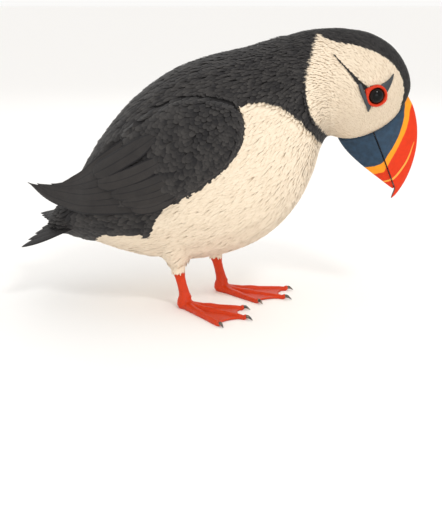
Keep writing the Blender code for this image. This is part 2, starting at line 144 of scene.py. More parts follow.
def smooth_faces(mesh):
    mesh.polygons.foreach_set("use_smooth", np.ones(len(mesh.polygons), bool))


def mesh_of(name, points, faces):
    """A mesh from arrays: points (n, 3) and faces of three or four corners each, as lists of arrays."""
    mesh = bpy.data.meshes.new(name)
    corners = np.concatenate([f.reshape(-1) for f in faces])
    sizes = np.concatenate([np.full(len(f), f.shape[1]) for f in faces])
    starts = np.concatenate(([0], np.cumsum(sizes)[:-1]))
    mesh.vertices.add(len(points))
    place_points(mesh, points)
    mesh.loops.add(len(corners))
    mesh.loops.foreach_set("vertex_index", corners.astype(np.int32))
    mesh.polygons.add(len(sizes))
    mesh.polygons.foreach_set("loop_start", starts.astype(np.int32))
    mesh.polygons.foreach_set("loop_total", sizes.astype(np.int32))
    mesh.update(calc_edges=True)
    smooth_faces(mesh)
    return mesh


def capped(rings):
    """Points and faces of a closed form from rings of points (rings, size, 3), with a fan over each end."""
    count, size = rings.shape[:2]
    index = np.arange(count * size).reshape(count, size)
    ahead = np.roll(index, -1, axis=1)
    quads = np.stack((index[:-1], ahead[:-1], ahead[1:], index[1:]), -1).reshape(-1, 4)
    caps = []
    for k, row in enumerate((0, -1)):
        caps.append(np.stack((index[row], ahead[row], np.full(size, count * size + k)), 1))
    points = np.vstack((rings.reshape(-1, 3), rings[0].mean(0), rings[-1].mean(0)))
    return points, [quads, np.concatenate(caps)]


def face_outwards(mesh):
    work = bmesh.new()
    work.from_mesh(mesh)
    bmesh.ops.recalc_face_normals(work, faces=work.faces)
    work.to_mesh(mesh)
    work.free()


def add_values(mesh, name, values):
    """One number for each point, which the materials read."""
    mesh.attributes.new(name, "FLOAT", "POINT").data.foreach_set("value", np.asarray(values, np.float32))


def add_map(mesh, places):
    """The OFBake map, from one place for each point."""
    corner = np.zeros(len(mesh.loops), np.int32)
    mesh.loops.foreach_get("vertex_index", corner)
    layer = mesh.uv_layers.new(name="OFBake")
    layer.data.foreach_set("uv", np.ascontiguousarray(places[corner], np.float32).reshape(-1))


def vectors_of(mesh, kind):
    found = np.zeros(len(mesh.vertices) * 3, np.float32)
    mesh.vertices.foreach_get(kind, found)
    return found.reshape(-1, 3).astype(float)


def points_of(mesh):
    return vectors_of(mesh, "co")


def normals_of(mesh):
    return vectors_of(mesh, "normal")


def triangles_of(mesh):
    mesh.calc_loop_triangles()
    found = np.zeros(len(mesh.loop_triangles) * 3, np.int32)
    mesh.loop_triangles.foreach_get("vertices", found)
    return found.reshape(-1, 3)


def tree_of(mesh):
    return BVHTree.FromPolygons([Vector(p) for p in points_of(mesh)], [list(t) for t in triangles_of(mesh)])


def finished(target):
    """The object with its modifiers made permanent."""
    bpy.context.view_layer.update()
    graph = bpy.context.evaluated_depsgraph_get()
    mesh = bpy.data.meshes.new_from_object(target.evaluated_get(graph), depsgraph=graph)
    target.modifiers.clear()
    target.data = mesh
    return target


def spline(points, steps):
    """A Catmull-Rom curve through rows of numbers, with this many steps between neighbours."""
    rows = np.array(points, float)
    padded = np.vstack((2 * rows[0] - rows[1], rows, 2 * rows[-1] - rows[-2]))
    found = []
    for a, b, c, d in zip(padded, padded[1:], padded[2:], padded[3:]):
        for t in np.arange(steps) / steps:
            found.append(0.5 * (2 * b + (c - a) * t + (2 * a - 5 * b + 4 * c - d) * t**2
                                + (3 * b - a - 3 * c + d) * t**3))
    return np.array(found + [rows[-1]])


def way_along(rows):
    """How far along a line each of its points is."""
    return np.concatenate(([0], np.cumsum(np.linalg.norm(np.diff(rows, axis=0), axis=1))))


def inside(outline, x, y):
    """Whether each place is inside a closed outline."""
    result = np.zeros(np.shape(x), bool)
    for (x0, y0), (x1, y1) in zip(outline, np.roll(outline, -1, axis=0)):
        crosses = (y0 > y) != (y1 > y)
        at = x0 + (y - y0) * (x1 - x0) / (y1 - y0 if y1 != y0 else 1e-12)
        result ^= crosses & (x < at)
    return result


def nearest_on_line(line, x, y):
    """For each place: its distance from an open line, the share of the line there, and its side (-1 or 1)."""
    best, share, side = (np.full(np.shape(x), start) for start in (1e9, 0.0, 0.0))
    for k, (a, b) in enumerate(zip(line, line[1:])):
        along = b - a
        t = np.clip(((x - a[0]) * along[0] + (y - a[1]) * along[1]) / (along @ along), 0, 1)
        away = np.hypot(x - a[0] - t * along[0], y - a[1] - t * along[1])
        nearer = away < best
        best = np.where(nearer, away, best)
        share = np.where(nearer, (k + t) / (len(line) - 1), share)
        side = np.where(nearer, np.sign(along[0] * (y - a[1]) - along[1] * (x - a[0])), side)
    return best, share, side


# ---------------------------------------------------------------- markings, the same on skin and coat
# The white face, in the head's millimetres (forward, up), from the point at the nape over the brow and round.
FACE_OUTLINE = spline((
    (-32.8, -7.7), (-29.4, -5.9), (-24.8, -1.2), (-20.8, 4.3), (-16.0, 10.2), (-10.4, 15.5), (-4.6, 19.4),
    (1.6, 21.6), (8.0, 22.0), (14.2, 20.3), (18.5, 17.6), (23, 14), (40, 4), (40, -16), (27, -22.5),
    (20.2, -25), (12.6, -26.8), (5.5, -27.7), (-0.9, -27.4), (-7.4, -25.7), (-14.3, -22.8), (-19.8, -19.0),
    (-23.6, -15.5), (-28.6, -11.4), (-32.8, -7.7)), 6) * MM
# The dark line behind the eye: forward and up of the eye in the head's millimetres, and its half width.
CREASE_ROWS = spline((
    (-5.0, -2.9, 1.15), (-8.8, -4.5, 1.05), (-13.2, -5.8, 0.75), (-17.8, -7.1, 0.48), (-23.8, -9.2, 0.24),
    (-27.5, -10.2, 0.14)), 8) * MM
CREASE = CREASE_ROWS[:, :2] + np.array(EYE_IN_HEAD)
CREASE_WIDTH = CREASE_ROWS[:, 2]
CHIN_STRIPE, CHIN_TOP = 2.2 * MM, -0.012  # half width and upper end of the dark stripe under the chin
# Below this line the body is white: x and z in millimetres where the CAD model was built.
WHITE_LINE = built((
    (-84, 20), (-75, 31), (-68, 38.0), (-63.5, 41.8), (-59.9, 44.7), (-47, 45.8), (-40, 47.4),
    (-36.8, 45.0), (-32.7, 45.6), (-29.9, 50.8), (-26.1, 57.9), (-22, 66), (15, 112), (20, 118.8),
    (29.5, 120.6), (40.3, 118.0), (50.3, 110.6), (58.6, 101.2), (64.8, 91.6), (73, 81)))


def darkness(points):
    """1 where the plumage is black and 0 where it is white."""
    x, y, z = np.asarray(points).T
    forward, up = to_head(points)
    face = inside(FACE_OUTLINE, forward, up) & ~((np.abs(y) < CHIN_STRIPE) & (up < CHIN_TOP))
    body = z < np.interp(x, WHITE_LINE[:, 0], WHITE_LINE[:, 1])
    return np.where(face | body, 0.0, 1.0)


def crease_depth(points):
    """How deep in the furrow behind the eye a place is, from 0 to 1."""
    forward, up = to_head(points)
    away, share, _ = nearest_on_line(CREASE, forward, up)
    width = np.interp(share, np.linspace(0, 1, len(CREASE)), CREASE_WIDTH)
    return np.clip(1.6 - away / width, 0, 1)


# The folded wing in side view: its upper and lower edges from the front back, where the CAD model was built.
WING_TOP = built(spline((
    (22.5, 107.5), (20, 115.7), (12, 121.2), (-3, 123.2), (-20, 119.8), (-37, 109.8), (-54, 94.8),
    (-69, 81.5), (-83, 73.8), (-94.5, 71.5), (-105.5, 70.8)), 4))[::-1]
WING_LOW = built(spline((
    (22.4, 107.0), (20.8, 98.5), (13.5, 87), (-1, 75.2), (-19, 65), (-38, 60), (-56, 58), (-71, 57.3),
    (-84.5, 59), (-95.5, 63), (-105.5, 69.3)), 4))[::-1]
# The left wing's blade is folded lower: (distance back, how much lower).
LEFT_WING_DROP = np.array(((35, 0), (50, 2.5), (70, 6.5), (90, 7.0), (105.5, 5.5))) * MM
WING_INNER_SIDE = 0.018  # nothing nearer to the middle than this is on a wing


def drop_at(x, sign):
    """How much lower a wing lies at this place than the right one."""
    lower = np.interp(SHIFT - np.asarray(x), LEFT_WING_DROP[:, 0], LEFT_WING_DROP[:, 1])
    return np.where(np.asarray(sign) > 0, lower, 0.0)


def wing_edges(x):
    return np.interp(x, WING_TOP[:, 0], WING_TOP[:, 1]), np.interp(x, WING_LOW[:, 0], WING_LOW[:, 1])


def within_wing(points, margin=0.0):
    """Whether each place is inside the outline of a folded wing, seen from the side."""
    x, y, z = np.asarray(points).T
    top, low = wing_edges(x)
    z = z + drop_at(x, np.sign(y))
    between = (z > low + margin) & (z < top - margin) & (x < WING_TOP[-1, 0] - margin)
    return between & (np.abs(y) > WING_INNER_SIDE)


# ---------------------------------------------------------------- the lie of the coat
# The line that the coat follows, in the middle of the bird, from the bill back to the tail.
SPINE = spline(np.insert(built((
    (94, 106), (88, 119), (82, 131), (73, 140), (60, 135), (46, 120), (30, 107), (8, 95), (-18, 82),
    (-45, 67), (-72, 55), (-95, 48), (-112, 44))), 1, 0, axis=1), 5)
SPINE_WAY = way_along(SPINE)
SPINE_REACH = 0.016  # how widely the spine's directions are blended


def along_spine(points):
    """How far back from the bill each place is, and the spine's direction there, backwards."""
    tangents = unit(np.gradient(SPINE, axis=0))
    away = ((np.asarray(points)[:, None, :] - SPINE[None]) ** 2).sum(-1)
    weight = np.exp(-(away - away.min(1, keepdims=True)) / (2 * SPINE_REACH**2))
    weight /= weight.sum(1, keepdims=True)
    return weight @ SPINE_WAY, unit(weight @ tangents)


# How the wing's feathers lie: places from the back to the front, and the direction there in side view.
WING_LIE_X = built([(x, 0) for x in (-110, -85, -60, -35, -10, 20)])[:, 0]
WING_LIE_TURN = np.radians((172, 180, 197, 212, 226, 240))
# Round the bill the feathers also spread outwards: how strongly, how far back, and from which heights.
FACE_SPREAD, FACE_SPREAD_REACH, HEAD_CORE = 0.45, 0.016, 0.012


def lie(points, wing):
    """The direction in which the feathers at each place point, before it is laid along the surface."""
    way, back = along_spine(points)
    forward, up = to_head(points)
    outwards = unit(points - from_head(forward, 0.0, np.clip(up, -HEAD_CORE, HEAD_CORE)))
    direction = unit(back + outwards * FACE_SPREAD * (1 - smoothstep(way, 0.0, FACE_SPREAD_REACH))[:, None])
    turn = np.interp(points[:, 0], WING_LIE_X, WING_LIE_TURN)
    on_wing = np.stack((np.cos(turn), np.zeros(len(points)), np.sin(turn)), 1)
    return np.where(wing[:, None], on_wing, direction)


# ---------------------------------------------------------------- materials
LINEAR = {
    "white": (0.81, 0.69, 0.535),
    # white_shade: painted shade of the white plumage near and under the feathers' roots, mixed with its own
    # random tone; on the claws, pale wear
    "white_shade": (0.60, 0.465, 0.32),
    "black": (0.016, 0.015, 0.016),
    "black_light": (0.066, 0.061, 0.057),
    "vane": (0.044, 0.039, 0.036),
    "slate": (0.026, 0.060, 0.106),
    "slate_dark": (0.018, 0.036, 0.060),
    "yellow": (0.900, 0.320, 0.012),
    "orange": (0.880, 0.220, 0.010),
    "red": (0.690, 0.034, 0.003),
    "groove": (0.930, 0.400, 0.060),
    "leg": (0.640, 0.042, 0.003),
    "leg_dark": (0.440, 0.026, 0.005),
    "ring": (0.680, 0.036, 0.006),
    "plate": (0.024, 0.029, 0.033),
    "claw": (0.020, 0.017, 0.016),
    "pupil": (0.002, 0.002, 0.002),
    "iris": (0.009, 0.005, 0.004),
    "floor": (0.965, 0.955, 0.94),
}


class Shading:
    """A material's node tree, built one node at a time."""

    def __init__(self, name, roughness, specular=0.5, coat=0.0, coat_roughness=0.15,
                 sheen=0.0, sheen_roughness=0.5):
        self.surface = bpy.data.materials.new(name)
        self.surface.use_nodes = True
        self.tree = self.surface.node_tree
        self.shader = self.tree.nodes["Principled BSDF"]
        looks = {"Roughness": roughness, "Specular IOR Level": specular, "Coat Weight": coat,
                 "Coat Roughness": coat_roughness, "Sheen Weight": sheen, "Sheen Roughness": sheen_roughness}
        for socket, number in looks.items():
            self.shader.inputs[socket].default_value = number

    def put(self, socket, value):
        if isinstance(value, bpy.types.NodeSocket):
            self.tree.links.new(value, socket)
        else:
            socket.default_value = value

    def node(self, kind, values=(), **settings):
        """A new node with these settings, and with these values or other nodes' outputs in its sockets."""
        made = self.tree.nodes.new(kind)
        for name, setting in settings.items():
            setattr(made, name, setting)
        for socket, value in dict(values).items():
            self.put(made.inputs[socket], value)
        return made

    def value(self, name):
        """A number that the mesh carries for each of its points."""
        return self.node("ShaderNodeAttribute", attribute_name=name).outputs["Fac"]

    def place(self):
        return self.node("ShaderNodeTexCoord").outputs["Object"]

    def math(self, operation, *values):
        return self.node("ShaderNodeMath", enumerate(values), operation=operation).outputs[0]

    def total(self, *parts):
        """The sum of several (value, weight) pairs."""
        found = 0.0
        for value, weight in parts:
            found = self.math("MULTIPLY_ADD", value, weight, found)
        return found

    def spread(self, value, low, high, to_low=0.0, to_high=1.0, kind="LINEAR"):
        """A value's place between low and high, carried over to the second pair of numbers."""
        values = enumerate((value, low, high, to_low, to_high))
        return self.node("ShaderNodeMapRange", values, clamp=True, interpolation_type=kind).outputs[0]

    def noise(self, scale, detail=3):
        values = {"Vector": self.place(), "Scale": scale, "Detail": detail}
        return self.node("ShaderNodeTexNoise", values).outputs["Fac"]

    def colour(self, share, a, b):
        """A blend of two colours, each a name from LINEAR or another node's output."""
        first, second = ((*LINEAR[tint], 1) if isinstance(tint, str) else tint for tint in (a, b))
        return self.node("ShaderNodeMix", {0: share, 6: first, 7: second}, data_type="RGBA").outputs[2]

    def bump(self, height, distance, strength):
        values = {"Height": height, "Distance": distance, "Strength": strength}
        self.put(self.shader.inputs["Normal"], self.node("ShaderNodeBump", values).outputs[0])

    def base(self, colour):
        self.put(self.shader.inputs["Base Color"], colour)
        return self.surface


def plumage_shading(name):
    return Shading(name, roughness=0.85, specular=0.16, sheen=0.12)


def under_material():
    """The skin between the feathers, in the shade of those over it."""
    made = plumage_shading("skin_under_feathers")
    white = made.colour(0.45, "white", "white_shade")
    black = made.colour(0.1, "black", "black_light")
    return made.base(made.colour(made.value("mark"), white, black))


def plumage_material():
    """Feathers by their own numbers: dark or white, their tone, and the place along and across them. White
    ones get painted shade towards their roots.
    """
    made = plumage_shading("plumage")
    patches, tone, along = made.noise(90), made.value("tone"), made.value("along")
    edge = made.math("POWER", made.math("ABSOLUTE", made.value("across")), 3.0)
    tip = made.spread(along, 0.55, 1.0, kind="SMOOTHSTEP")
    # Near their roots, white feathers turn to white_shade: painted shade under the feathers that overlap
    # them. The patches and tone beside it are their own random tone.
    root = made.spread(along, 0.0, 0.5, 0.7, 0.0)
    shade = made.total((patches, 0.45), (tone, 0.35), (root, 1.0))
    light = made.total((tone, 0.45), (patches, 0.3), (made.math("MAXIMUM", edge, tip), 0.3))
    white = made.colour(made.spread(shade, 0.35, 1.5), "white", "white_shade")
    black = made.colour(made.spread(light, 0.25, 1.15), "black", "black_light")
    return made.base(made.colour(made.value("mark"), white, black))


BARBS_PER_TURN = 9000.0  # radians of the barbs' wave in each metre along a vane
BARB_SLANT = 0.0035  # how far back a barb runs between the shaft and the vane's edge


def vane_material(name, paleness=1.0):
    """Large wing and tail feathers: slanted barbs beside a darker shaft, with painted shade along the edge
    and at the tip, as in the gaps between overlapping vanes.
    """
    made = Shading(name, roughness=0.62, specular=0.18, sheen=0.05, sheen_roughness=0.4)
    along, side = made.value("along"), made.math("ABSOLUTE", made.value("across"))
    run = made.total((made.math("MULTIPLY", along, made.value("length")), 1.0), (side, -BARB_SLANT))
    barbs = made.math("SINE", made.math("MULTIPLY", run, BARBS_PER_TURN))
    shaft = made.spread(side, 0.03, 0.08, 1.0, 0.0)
    # The edge and the tip are darkened: painted shade of the gaps between overlapping vanes.
    edge = made.math("MAXIMUM", made.spread(side, 0.80, 0.95), made.spread(along, 0.955, 0.99))
    mottle = made.total((made.noise(160), 0.5), (made.value("tone"), 0.25))
    light = made.total((mottle, 1.0), (shaft, -0.35), (edge, -0.9), (barbs, 0.05))
    made.bump(barbs, 0.00006, 0.6)
    return made.base(made.colour(made.spread(light, -0.1, 0.75, 0.0, paleness), "black", "vane"))


def bill_material():
    """Slate at the base, then an arched yellow band, and red out to the tip with a pale groove. Painted shade
    darkens the slate next to the face's feathers, and a painted shadow blackens the mouth line.
    """
    made = Shading("bill_horn", roughness=0.40, specular=0.20, coat=0.03, coat_roughness=0.25)
    grain = made.noise(420, 4)
    wobble = made.total((made.noise(260, 2), 0.7), (1.0, -0.35))
    slate = made.colour(made.spread(grain, 0.3, 0.75), "slate", "slate_dark")
    # Darker slate within about 1.5 mm of the face's edge: painted shade where the feathers meet the bill.
    slate = made.colour(made.spread(made.value("from_base"), 0.4, 1.5, 0.65, 0.0), slate, "slate_dark")
    yellow = made.colour(made.spread(grain, 0.35, 0.8, 0.0, 0.4), "yellow", "orange")
    red = made.colour(made.spread(grain, 0.35, 0.8, 0.0, 0.35), "red", "leg_dark")
    colour = slate
    for border, beyond_it in (("beyond_slate", yellow), ("beyond_yellow", red)):
        past = made.math("ADD", made.value(border), wobble)
        colour = made.colour(made.spread(past, -0.18, 0.18), colour, beyond_it)
    colour = made.colour(made.spread(made.value("from_groove"), 0.42, 0.66, 0.9, 0.0), colour, "groove")
    # Black within about 0.4 mm of the mouth line: painted shadow of the gap between the bill's halves.
    colour = made.colour(made.spread(made.value("from_mouth"), 0.22, 0.42, 0.93, 0.0), colour, "black")
    made.bump(grain, 0.00008, 0.5)
    return made.base(colour)


def skin_material(name, colour, scale):
    """Scaly bare skin, as on legs, feet and lids."""
    made = Shading(name, roughness=0.40, specular=0.25, coat=0.03)
    values = {"Vector": made.place(), "Scale": scale}
    cells = made.node("ShaderNodeTexVoronoi", values, feature="DISTANCE_TO_EDGE")
    seam = made.spread(cells.outputs["Distance"], 0.0, 0.12, 1.0, 0.0)
    worn = made.spread(made.noise(140), 0.45, 0.8, 0.0, 0.35)
    made.bump(made.math("SUBTRACT", 1.0, seam), 0.00012, 0.7)
    return made.base(made.colour(made.total((seam, 0.45), (worn, 1.0)), colour, "leg_dark"))


def horn_material(name, colour, worn_colour, roughness, coat, scale):
    """Plain horn, as on claws and the plates round the eye."""
    made = Shading(name, roughness=roughness, coat=coat)
    worn = made.noise(scale)
    made.bump(worn, 0.00005, 0.4)
    return made.base(made.colour(made.spread(worn, 0.4, 0.8, 0.0, 0.5), colour, worn_colour))


def eye_material():
    """A black pupil in a very dark brown iris under a wet gloss."""
    made = Shading("eye_surface", roughness=0.03, specular=0.28)
    made.shader.inputs["IOR"].default_value = 1.36
    return made.base(made.colour(made.spread(made.value("from_pupil"), 0.60, 0.68), "pupil", "iris"))


# ---------------------------------------------------------------- one skin over the flesh
FLESH = ["trunk", "neck", "head"] + [f"{part}_{side}" for part in ("thigh", "wing") for side in SIDES]
SEAM_FILL = 0.00055  # how much each part of the flesh grows before all are fused
SKIN_VOXEL = 0.0013
SKIN_SMOOTHING, LAST_SMOOTHING, NAPE_SMOOTHING = 7, 3, 60
COAT_DEPTH_FACE, COAT_DEPTH_BODY, COAT_DEPTH_WING = 0.0008, 0.0020, 0.0044
# Between these ways from the bill, the coat's depth changes from the face's to the body's, and between these
# places behind the origin, from the body's to the wing's.
FACE_WAY, WING_WAY = (0.012, 0.060), (0.016, 0.034)
CREASE_DEPTH = 0.0009
# Where neck and head meet on top, the skin is smoothed. A hollow in front of the joint is filled.
NAPE, NAPE_RADIUS = (0.069, 0.157), 0.020
NAPE_DIP, NAPE_DIP_RADIUS, NAPE_FILL = (0.0760, 0.1545), 0.0070, 0.0011


def welded_copy(node, grow):
    """A copy of a CAD node's mesh with its points merged and moved outwards."""
    work = bmesh.new()
    work.from_mesh(cad(node))
    bmesh.ops.remove_doubles(work, verts=work.verts, dist=1e-6)
    work.normal_update()
    for vert in work.verts:
        vert.co += vert.normal * grow
    mesh = bpy.data.meshes.new(node + "_copy")
    work.to_mesh(mesh)
    work.free()
    return mesh


def fused(name, nodes, grow, voxel, smoothing, pads=()):
    """One closed surface round several CAD nodes and round pads, each (middle, radius)."""
    work = bmesh.new()
    for middle, radius in pads:
        bmesh.ops.create_icosphere(work, subdivisions=3, radius=radius, matrix=Matrix.Translation(middle))
    for node in nodes:
        mesh = welded_copy(node, grow)
        work.from_mesh(mesh)
        bpy.data.meshes.remove(mesh)
    mesh = bpy.data.meshes.new(name)
    work.to_mesh(mesh)
    work.free()
    made = object_of(name, mesh)
    step = made.modifiers.new("fuse", "REMESH")
    step.mode = "VOXEL"
    step.voxel_size = voxel
    step.use_smooth_shade = True
    soften(made, smoothing)
    return finished(made)


def soften(target, steps, group=""):
    soft = target.modifiers.new("soften", "SMOOTH")
    soft.factor = 0.5
    soft.iterations = steps
    soft.vertex_group = group


def coat_depth(points):
    """How deep the skin lies under the tips of the coat."""
    return mixed(COAT_DEPTH_FACE, COAT_DEPTH_BODY, smoothstep(along_spine(points)[0], *FACE_WAY))


def away_from(points, spot):
    """Distance from a place in side view."""
    return np.hypot(points[:, 0] - spot[0], points[:, 2] - spot[1])


def sink_skin(mesh):
    """Draw the fused flesh in by the coat's depth. Gives the new points."""
    points = points_of(mesh)
    inwards = coat_depth(points) + SEAM_FILL + CREASE_DEPTH * np.minimum(crease_depth(points), 1)
    rear = smoothstep(SHIFT - points[:, 0], *WING_WAY) * within_wing(points)
    inwards = mixed(inwards, COAT_DEPTH_WING, rear)
    inwards -= NAPE_FILL * np.exp(-((away_from(points, NAPE_DIP) / NAPE_DIP_RADIUS) ** 2))
    points -= normals_of(mesh) * inwards[:, None]
    place_points(mesh, points)
    return points


def build_skin():
    skin = fused("skin", FLESH, SEAM_FILL, SKIN_VOXEL, SKIN_SMOOTHING)
    points = sink_skin(skin.data)
    soften(skin, LAST_SMOOTHING)
    nape = skin.vertex_groups.new(name="nape")
    away = away_from(points, NAPE)
    for index in np.flatnonzero(away < NAPE_RADIUS):
        nape.add([int(index)], float(1 - smoothstep(away[index], 0.4 * NAPE_RADIUS, NAPE_RADIUS)), "REPLACE")
    soften(skin, NAPE_SMOOTHING, "nape")
    finished(skin)
    mesh = skin.data
    mesh.name = "skin"
    smooth_faces(mesh)
    points = points_of(mesh)
    mark = np.maximum(darkness(points), np.minimum(crease_depth(points) * 2, 1))
    add_values(mesh, "mark", np.maximum(mark, within_wing(points)))
    give_surface(mesh, under_material())
    tie(skin, "plumage_white", *FLESH)
    return skin


# ---------------------------------------------------------------- roots of the small feathers
TRIES = 3.5  # random places tried for each feather's own area


def scattered(skin, spacing_of):
    """Places on the skin at least their own spacing apart, with the skin's normal there."""
    mesh = skin.data
    points, normals, corners = points_of(mesh), normals_of(mesh), triangles_of(mesh)
    a, b, c = (points[corners[:, k]] for k in range(3))
    areas = np.linalg.norm(np.cross(b - a, c - a), axis=1) / 2
    spacing = spacing_of((a + b + c) / 3)
    pick = np.repeat(np.arange(len(corners)), RNG.poisson(areas / spacing**2 * TRIES))
    u, v = RNG.random((2, len(pick)))
    flip = u + v > 1
    u, v = np.where(flip, 1 - u, u), np.where(flip, 1 - v, v)
    weights = np.stack((1 - u - v, u, v), 1)[..., None]
    places = (points[corners[pick]] * weights).sum(1)
    facing = unit((normals[corners[pick]] * weights).sum(1))
    gaps = spacing[pick]
    order = RNG.permutation(len(places))
    places, facing, gaps = places[order], facing[order], gaps[order]
    tree = KDTree(len(places))
    for k, place in enumerate(places):
        tree.insert(place, k)
    tree.balance()
    free, kept = np.ones(len(places), bool), np.zeros(len(places), bool)
    for k, place in enumerate(places):
        if free[k]:
            kept[k] = True
            free[[other for _, other, _ in tree.find_range(place, gaps[k])]] = False
    return places[kept], facing[kept]


# How the coat changes from the bill back, in millimetres: way along the spine, spacing, length, half width.
COAT = np.array((
    (0, 0.50, 1.9, 0.29),
    (18, 0.58, 2.5, 0.34),
    (40, 0.76, 3.8, 0.46),
    (65, 1.15, 5.8, 0.78),
    (100, 1.55, 8.2, 1.15),
    (150, 1.85, 10.5, 1.55),
    (210, 2.00, 12.0, 1.80),
)) * MM
THIGH_HEIGHT, THIGH_ASIDE = 0.0068, 0.001  # the thigh's own tufts reach this high, and this far round its box
FACE_END = 0.055  # way along the spine at which the face and crown end
FACE_LIFT = 0.6  # how far the face's feathers stand up, as a share of the coat's depth
WHITE_SPACING, WHITE_LENGTH, WHITE_HALF_WIDTH, WHITE_DEPTH = 0.00115, 0.0085, 0.00088, 0.0012
# The wing's small feathers from its front back: the places behind the origin, and the sizes there.
COVERT_WAY, COVERT_LENGTH, COVERT_HALF_WIDTH = (-0.020, 0.040), (0.0050, 0.0095), (0.0013, 0.0024)


def coat_of(points, column):
    """The coat's spacing (1), length (2) or half width (3) at each place."""
    return np.interp(along_spine(points)[0], COAT[:, 0], COAT[:, column])


def on_thigh(points):
    """Which places are low on a thigh, where fine tufts hang down over the shank."""
    found = np.zeros(len(points), bool)
    for side, sign in SIDES.items():
        low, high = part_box("thigh_" + side)
        near = (points[:, 0] > low.x - THIGH_ASIDE) & (points[:, 0] < high.x + THIGH_ASIDE)
        found |= near & (points[:, 1] * sign > 0) & (points[:, 2] < low.z + THIGH_HEIGHT)
    return found


def coat_spacing(points):
    spacing = coat_of(points, 1)
    return np.where(darkness(points) > 0.5, spacing, np.minimum(spacing, WHITE_SPACING))


# ---------------------------------------------------------------- laying feathers
# Cross-sections of a small feather: (share of its length, share of its half width).
LEAF = ((0.0, 0.30), (0.25, 0.80), (0.50, 1.0), (0.75, 0.96), (0.91, 0.66))
LOCK = ((0.0, 0.40), (0.28, 0.92), (0.55, 1.0), (0.78, 0.72), (0.93, 0.34))
DOWN = ((0.0, 0.55), (0.40, 1.0), (0.78, 0.68))
PATCH = 0.003  # the size of a feather's patch in the OFBake map
DROOP = 0.16  # how much lower a feather's sides lie than its middle, as a share of its half width
ROOT_SINK = 0.0003
# How high a feather's middle and its tip lie, as shares of its depth. The tip's varies, within limits.
MIDDLE_RISE, TIP_RISE, TIP_SPREAD, TIP_LIMITS = 0.55, 0.80, 0.10, (0.5, 1.1)
HEADING_SPREAD = 0.10  # how far feathers turn out of the coat's direction, in radians


def on_surface(tree, points):
    """The nearest places on a surface, with its normals there."""
    found = [tree.find_nearest(Vector(p)) for p in points]
    return np.array([f[0][:] for f in found]), np.array([f[1][:] for f in found])


def leaf_faces(count, sections):
    """Faces of many leaves: rings of four points, a flat root and a pointed tip."""
    size = 4 * sections + 1
    quads = [(3, 2, 1, 0)]
    for k in range(sections - 1):
        for j in range(4):
            n = (j + 1) % 4
            quads.append((4 * k + j, 4 * k + n, 4 * k + 4 + n, 4 * k + 4 + j))
    last = 4 * (sections - 1)
    tris = [(last + j, last + (j + 1) % 4, size - 1) for j in range(4)]
    starts = np.arange(count)[:, None, None] * size
    return [(np.array(f)[None] + starts).reshape(-1, len(f[0])) for f in (quads, tris)]


def sharpen_sides(mesh, size):
    """Keep the light on the two sides of each leaf apart: the edges down its left and right are sharp."""
    ends = np.zeros(len(mesh.edges) * 2, np.int32)
    mesh.edges.foreach_get("vertices", ends)
    place = ends.reshape(-1, 2) % size
    column = np.where(place == size - 1, -1, place % 4)
    side = (column == 0) | (column == 2)
    sharp = (side.all(1) & (column[:, 0] == column[:, 1])) | (side.any(1) & (column == -1).any(1))
    mesh.attributes.new("sharp_edge", "BOOLEAN", "EDGE").data.foreach_set("value", sharp)


def unwrapped(points):
    """Places on an unwrap of the skin: the turn round the spine and the way back, both filling 0 to 1."""
    way, back = along_spine(points)
    nearest = np.stack([np.interp(way, SPINE_WAY, SPINE[:, k]) for k in range(3)], 1)
    away = points - nearest
    above = unit(np.cross(back, np.array((0.0, 1.0, 0.0))))
    turn = np.arctan2(away[:, 1], (away * above).sum(1))
    places = np.stack((turn / (2 * math.pi) + 0.5, way / SPINE_WAY[-1]), 1)
    low, high = places.min(0), places.max(0)
    return PATCH + (places - low) / np.maximum(high - low, 1e-6) * (1 - 2 * PATCH)


class Feathers:
    """Many small feathers at once, one row for each: its root, heading and size.

    Free is 0 where a feather follows the skin, and 1 where it stands straight off its root.
    """

    def __init__(self, roots, normals, direction):
        self.roots, self.normals = roots, normals
        flat = square_to(direction, normals)
        turn = RNG.normal(0, HEADING_SPREAD, len(roots))[:, None]
        self.heading = flat * np.cos(turn) + np.cross(normals, flat) * np.sin(turn)
        self.length, self.half_width, self.depth, self.free = np.zeros((4, len(roots)))

    def chosen(self, which):
        part = Feathers.__new__(Feathers)
        for name, rows in vars(self).items():
            setattr(part, name, rows[which])
        return part

    def spots(self, share):
        """Places at a share of each feather's length, straight on from its root."""
        return self.roots + self.heading * (self.length * share)[:, None]


